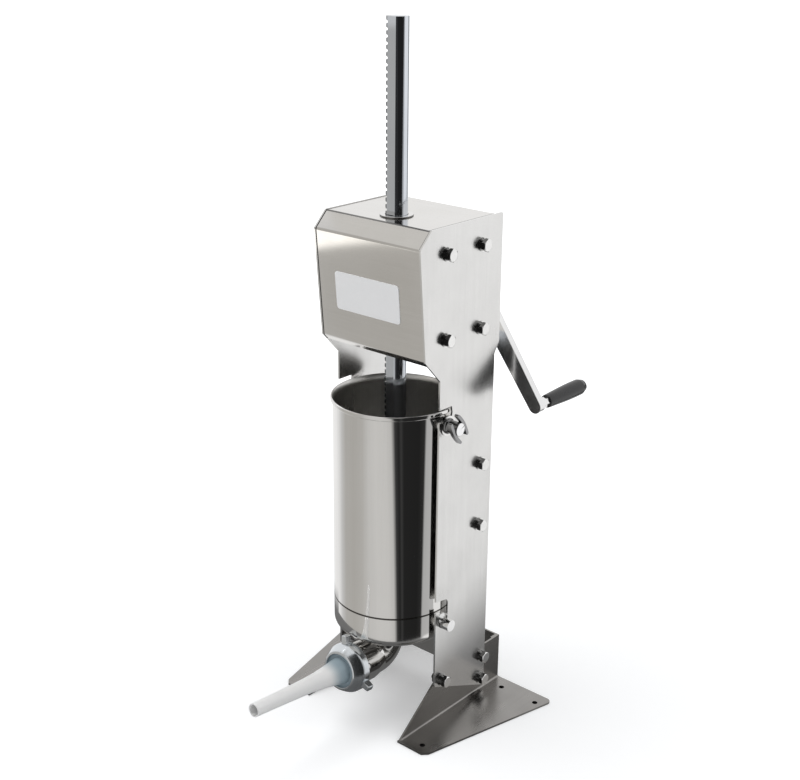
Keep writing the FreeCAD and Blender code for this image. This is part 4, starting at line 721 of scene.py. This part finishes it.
def black_grip():
    """The grip's moulded contour, slim at the collar and swelling to a rounded end."""
    mesh = lathe([(5.1, 0, 0), (10, 0, 1.2), (10.6, 6, 3), (11, 20, 12), (13.1, 57, 30),
                  (12.6, 84, 10), (9.5, 95.27, 7), (0, 95.27, 0), (0, 92, 0), (5.1, 92, 0)],
                 turns=96, closed=False)
    set_down(mesh, GRIP_PLACE, TO_REAR)
    hand_over("black_grip", mesh, "grip_plastic", "grip", ["grip"])


# The casing's sheet: half its width, its top, its rear and its thickness, and the two (y, z) ends
# of its sloping front
CASING_HALF, CASING_TOP, CASING_REAR, CASING_SHEET = 96.9, 780.9, 125.3, 1.4
SLOPE_TOP, SLOPE_FOOT = (FRONT_Y - 46, 758), (FRONT_Y - 32, 596)


def folded_casing():
    """The casing's folded sheet: top, chamfer, sloping front and lower lip, with the bar's hole.

    Its cut edges, the strip beside the right plate's lip and the bend under the top are dark with
    painted shade.
    """
    edge, lip = 1.3, 4.2
    profile = [(CASING_REAR, CASING_TOP, 0), (FRONT_Y - 23.5, CASING_TOP, 2.5), (*SLOPE_TOP, 2.5),
               (*SLOPE_FOOT, 2.5), (FRONT_Y - 24.5, 588.1, 0)]
    sheet = new_outline([(-CASING_HALF, *corner) for corner in profile], False)
    edges = sheet.edges[:]
    for step in (edge, 2 * CASING_HALF - edge - lip, lip - edge, edge):
        edges = pushed(sheet, edges, (step, 0, 0))
    bmesh.ops.recalc_face_normals(sheet, faces=sheet.faces)
    for face in sheet.faces:
        spot = face.calc_center_median()
        # painted shade on the left cut edge, beside the right plate's lip and in the bend under the
        # top
        on_left = spot.x < edge - CASING_HALF
        on_right = spot.x > CASING_HALF - (lip if spot.z > 780 else edge) and spot.z > 759
        in_bend = spot.z > 777 and 0.05 < abs(face.normal.y) < 0.65
        face.material_index = 1 if on_left or on_right or in_bend else 0
    top = [face for face in sheet.faces if max(vert.co.y for vert in face.verts) > CASING_REAR - 1
           and abs(face.calc_center_median().x) < 1]
    rim = each_once(side for face in top for side in face.edges)
    bmesh.ops.delete(sheet, geom=top, context="FACES_ONLY")
    hole = bmesh.ops.create_circle(sheet, segments=96, radius=17,
                                   matrix=Matrix.Translation((0, AXIS_Y, CASING_TOP)))["verts"]
    bmesh.ops.triangle_fill(sheet, edges=rim + edges_at(hole), use_beauty=True)
    bmesh.ops.recalc_face_normals(sheet, faces=sheet.faces)
    bmesh.ops.solidify(sheet, geom=sheet.faces[:], thickness=CASING_SHEET)
    hand_over("folded_casing", sheet, "casing_steel", "frame", ["head_cover"], second=EDGE_SHADE)


def bare_label():
    """The blank label on the casing's front, its corners rounded and its edge eased."""
    mesh = slab([(-60.5, -28.5, 5), (60.5, -28.5, 5), (60.5, 28.5, 5), (-60.5, 28.5, 5)], 0.8)
    ease_edges(mesh, 0.3,
               lambda edge: edge_is_sharp(edge) and min(v.co.z for v in edge.verts) > 0.7)
    across, up, gap = -4, 672, 0.05
    slope = math.atan2(SLOPE_FOOT[0] - SLOPE_TOP[0], SLOPE_TOP[1] - SLOPE_FOOT[1])
    front = SLOPE_TOP[0] + (SLOPE_TOP[1] - up) * math.tan(slope) - gap
    set_down(mesh, (across, front, up), Matrix.Rotation(math.radians(90) + slope, 4, "X"))
    hand_over("bare_label", mesh, "mirror_steel", "frame", ["label_plate"], LABEL_FILM)


def guide_ring():
    """The polished ring round the toothed bar on the casing's top, its sides dark with painted
    shade.
    """
    mesh = lathe([(16.5, 0, 0), (24, 0, 0), (24, 2, 0.9), (16.5, 2, 0.6)], turns=96)
    for face in mesh.faces:
        # the ring's sides take the painted shade
        face.material_index = 1 if abs(face.normal.z) < 0.75 else 0
    set_down(mesh, (0, AXIS_Y, 781))
    hand_over("guide_ring", mesh, "mirror_steel", "frame", ["rack_guide_ring"], second=EDGE_SHADE)


meat_cylinder()
seam_groove_shade()
bolt_row("head_screws", "head_bolts", 77.0, HEAD_BOLTS)
bolt_row("brace_screws", "brace_bolts", 84.5, BRACE_BOLTS)
bolt_row("foot_screws", "foot_bolts", 81.5, FOOT_BOLTS)
bright_elbow()
cast_nut()
milky_funnel()
winged_knob()
turning_arm()
black_grip()
folded_casing()
bare_label()
guide_ring()


# ---- studio ----

def whiteness(wires):
    """1 for rays that should meet white paper: from the camera and through plastic."""
    path = wires.add("ShaderNodeLightPath").outputs
    return path, wires.math("MAXIMUM", path["Is Camera Ray"], path["Is Transmission Ray"])


# The floor's paper: its colour, how much it glows for the camera near the object, and the
# distances, in metres, between which the glow becomes full
PAPER = (0.79, 0.80, 0.812, 1)
FLOOR_GLOW, GLOW_NEAR, GLOW_FAR = 0.32, 0.5, 2.0
# What gloss sees of the floor, by metres from the object: painted shade, then paper
FLOOR_GLOSS_SHADE = [(0.14, 0.13), (0.33, 0.20), (0.38, 0.62), (0.42, 0.94), (0.95, 1.0)]
# To the right and behind, the painted shade ends along a slanting line: metres of X, and X by Y
LINE_START, LINE_SLANT = 0.19, 0.2585


def lay_floor():
    """Pale paper that takes the object's shadow, white for the camera, and for gloss a glow with a
    painted shade near the object.
    """
    mesh = bmesh.new()
    bmesh.ops.create_grid(mesh, x_segments=2, y_segments=2, size=30)
    floor = new_object("floor", mesh, (0, 0, -0.0005))
    material, wires, skin = new_material("floor_paper")
    path, seen = whiteness(wires)
    skin.inputs["Base Color"].default_value = PAPER
    skin.inputs["Roughness"].default_value = 0.9
    skin.inputs["Specular IOR Level"].default_value = 0.0
    skin.inputs["Emission Color"].default_value = (1, 1, 1, 1)
    place = wires.object_place()
    length = wires.add("ShaderNodeVectorMath", operation="LENGTH")
    wires.join(place, length.inputs[0])
    distance = length.outputs["Value"]
    glow = wires.mapped(distance, GLOW_NEAR, GLOW_FAR, FLOOR_GLOW, 1.0)
    wires.join(wires.math("MULTIPLY", seen, glow), skin.inputs["Emission Strength"])
    spot = wires.parts_of(place)
    line = wires.math("SUBTRACT", wires.math("ADD", spot["X"], LINE_START),
                      wires.math("MULTIPLY", spot["Y"], LINE_SLANT))
    # from 0.1 to 0.2 m to the right and over the first 0.1 m behind, the line takes over
    to_right = wires.math("MULTIPLY_ADD", spot["X"], 10.0, -1.0, clamp=True)
    behind = wires.math("MULTIPLY", spot["Y"], 10.0, clamp=True)
    edge = wires.between(wires.math("MULTIPLY", to_right, behind), distance, line)
    tones = wires.ramp(wires.math("MULTIPLY", edge, 1.0, clamp=True),
                       [(at, (level, level, level)) for at, level in FLOOR_GLOSS_SHADE])
    # for gloss the floor is an emission with painted shade near the object
    painted_gloss_shade = wires.add("ShaderNodeEmission")
    wires.join(tones, painted_gloss_shade.inputs["Color"])
    chosen = wires.add("ShaderNodeMixShader")
    wires.join(path["Is Glossy Ray"], chosen.inputs[0])
    wires.join(skin.outputs[0], chosen.inputs[1])
    wires.join(painted_gloss_shade.outputs[0], chosen.inputs[2])
    surface = material.node_tree.nodes["Material Output"].inputs["Surface"]
    wires.join(chosen.outputs[0], surface)
    floor.data.materials.append(material)


# The feet's bolt holes on each side, in millimetres from the middle and back, and their radius
FOOT_HOLES = [(129.5, AXIS_Y - 80), (122.4, AXIS_Y + 125.4), (188.6, AXIS_Y + 125.4)]
HOLE_RADIUS = 4.5


def shade_holes():
    """The shade that stands in the feet's bolt holes: a dark disc on the floor under each."""
    mesh = bmesh.new()
    for side in (-MM, MM):
        for across, back in FOOT_HOLES:
            place = Matrix.Translation((side * across, back * MM, 0.0002))
            bmesh.ops.create_circle(mesh, cap_ends=True, segments=32, radius=HOLE_RADIUS * MM,
                                    matrix=place)
    shade = new_object("hole_shade", mesh)
    material, _, skin = new_material("hole_shade")
    skin.inputs["Base Color"].default_value = (0.01, 0.01, 0.01, 1)
    skin.inputs["Specular IOR Level"].default_value = 0.0
    shade.data.materials.append(material)


# The studio wall: its radius and height in metres
WALL_RADIUS, WALL_HEIGHT = 0.34, 1.4
# How bright and how warm it is, from the front left round to the right, by its angle from the
# front in degrees
WALL_TONES = [(-78, 0.95, 0), (-70, 0.88, 0), (-61, 0.66, 0), (-50, 0.52, 0.04),
              (-30, 0.50, 0.05), (-12, 0.54, 0.04), (-3, 0.65, 0.02), (8, 0.70, 0.02),
              (24, 0.69, 0.02), (34, 0.62, 0.02), (40, 0.05, 0), (46, 0.02, 0), (50, 0.05, 0),
              (54, 0.02, 0), (80, 0.018, 0), (90, 0.03, 0), (93.5, 0.5, 0), (112, 0.56, 0)]
# Its dark part narrows below a height in metres, about an angle in radians; the narrowing sets in
# at one angle and is full after a span
NARROW_BELOW, NARROW_RATE = 0.42, 0.667
NARROW_ABOUT, NARROW_FROM, NARROW_SPAN = 1.31, -0.17, 0.7
# On the front left, up to an angle and fading out by the next, the casing's bend sees a bright
# strip: shares of its gain, by height in metres
LEFT_FULL, LEFT_END = -0.45, -0.3
STRIP_GAIN, OFF_STRIP = 3.0, 0.333
WALL_STEPS = [(0.635, OFF_STRIP), (0.645, 1.0), (0.675, 1.0), (0.685, OFF_STRIP)]
# Above it, between two heights, plain grey comes in for the casing's chamfer
GREY, GREY_START, GREY_FULL = (0.72, 0.71, 0.69, 1), 1.005, 1.015


def wall_object(first, last):
    """A curved wall, from one angle to the other, that only gloss sees."""
    mesh = bmesh.new()
    foot = mesh.verts.new((WALL_RADIUS * math.sin(first), -WALL_RADIUS * math.cos(first), 0))
    head = mesh.verts.new((foot.co.x, foot.co.y, WALL_HEIGHT))
    line = mesh.edges.new((foot, head))
    bmesh.ops.spin(mesh, geom=[foot, head, line], cent=(0, 0, 0), axis=(0, 0, 1), dvec=(0, 0, 0),
                   angle=last - first, steps=96, use_merge=False, use_duplicate=False)
    wall = new_object("studio_wall", mesh, (0, AXIS_Y * MM, 0))
    wall.visible_camera = False
    wall.visible_diffuse = False
    wall.visible_transmission = False
    wall.visible_shadow = False
    return wall


def stand_wall():
    """A curved studio wall that only polished surfaces see: grey in front, black on the right."""
    first, last = math.radians(WALL_TONES[0][0]), math.radians(WALL_TONES[-1][0])
    wall = wall_object(first, last)
    material, wires, skin = new_material("studio_wall")
    spot = wires.parts_of(wires.object_place())
    angle = wires.math("ARCTAN2", spot["X"], wires.math("MULTIPLY", spot["Y"], -1.0))
    lean = wires.math("MULTIPLY", wires.math("SUBTRACT", NARROW_BELOW, spot["Z"]), NARROW_RATE)
    right = wires.math("DIVIDE", wires.math("SUBTRACT", angle, NARROW_FROM), NARROW_SPAN,
                       clamp=True)
    away = wires.math("MULTIPLY", wires.math("SUBTRACT", angle, NARROW_ABOUT), lean)
    bent = wires.math("ADD", angle, wires.math("MULTIPLY", away, right))
    share = wires.math("DIVIDE", wires.math("SUBTRACT", bent, first), last - first, clamp=True)
    tones = wires.ramp(share, [
        ((math.radians(degrees) - first) / (last - first),
         (level, level * (1 - 0.5 * warmth), level * (1 - 1.5 * warmth)))
        for degrees, level, warmth in WALL_TONES])
    steps = wires.ramp(wires.math("DIVIDE", spot["Z"], WALL_HEIGHT, clamp=True),
                       [(height / WALL_HEIGHT, (level,) * 3) for height, level in WALL_STEPS])
    on_left = wires.mapped(angle, LEFT_FULL, LEFT_END, 1.0, 0.0)
    gain = wires.between(on_left, 1.0, wires.math("MULTIPLY", steps, STRIP_GAIN))
    above = wires.mapped(spot["Z"], GREY_START, GREY_FULL)
    colour = wires.mixed(wires.math("MULTIPLY", above, on_left), tones, GREY)
    skin.inputs["Base Color"].default_value = (0, 0, 0, 1)
    skin.inputs["Specular IOR Level"].default_value = 0.0
    wires.join(gain, skin.inputs["Emission Strength"])
    wires.join(colour, skin.inputs["Emission Color"])
    wall.data.materials.append(material)


# How bright the world is: for plain rays, and for gloss
DIM_WORLD, GLOSSY_WORLD = 0.62, 0.97


def light_world():
    """White for the camera and through plastic, near white for gloss, and dim for the rest."""
    world = bpy.data.worlds.new("studio")
    bpy.context.scene.world = world
    world.use_nodes = True
    wires = Wires(world.node_tree)
    path, seen = whiteness(wires)
    level = wires.math("MAXIMUM", wires.math("MAXIMUM", seen, DIM_WORLD),
                       wires.math("MULTIPLY", path["Is Glossy Ray"], GLOSSY_WORLD))
    paper = world.node_tree.nodes["Background"]
    paper.inputs["Color"].default_value = (1, 1, 1, 1)
    wires.join(level, paper.inputs["Strength"])


# Name, place, aim, size in metres, and watts
SOFT_BOXES = [("overhead_box", (-0.9, -0.5, 2.6), (0, 0, 0.3), (1.6, 1.6), 26),
              ("side_box", (1.8, 1.2, 1.8), (0, 0, 0.4), (1.4, 1.4), 12)]


def soft_box(name, place, aim, size, power):
    """A wide soft lamp that gloss doesn't see."""
    lamp = bpy.data.lights.new(name, "AREA")
    lamp.shape = "RECTANGLE"
    lamp.size, lamp.size_y = size
    lamp.energy = power
    holder = bpy.data.objects.new(name, lamp)
    turn = (Vector(place) - Vector(aim)).to_track_quat("Z", "Y").to_matrix().to_4x4()
    holder.matrix_world = Matrix.Translation(place) @ turn
    holder.visible_glossy = False
    bpy.context.scene.collection.objects.link(holder)


def set_studio():
    """Plain pale floor, curved wall for the gloss, white world and two soft lamps."""
    bpy.context.scene.view_settings.view_transform = "Standard"
    lay_floor()
    shade_holes()
    stand_wall()
    light_world()
    for box in SOFT_BOXES:
        soft_box(*box)


set_camera()
set_studio()
dress_nodes()
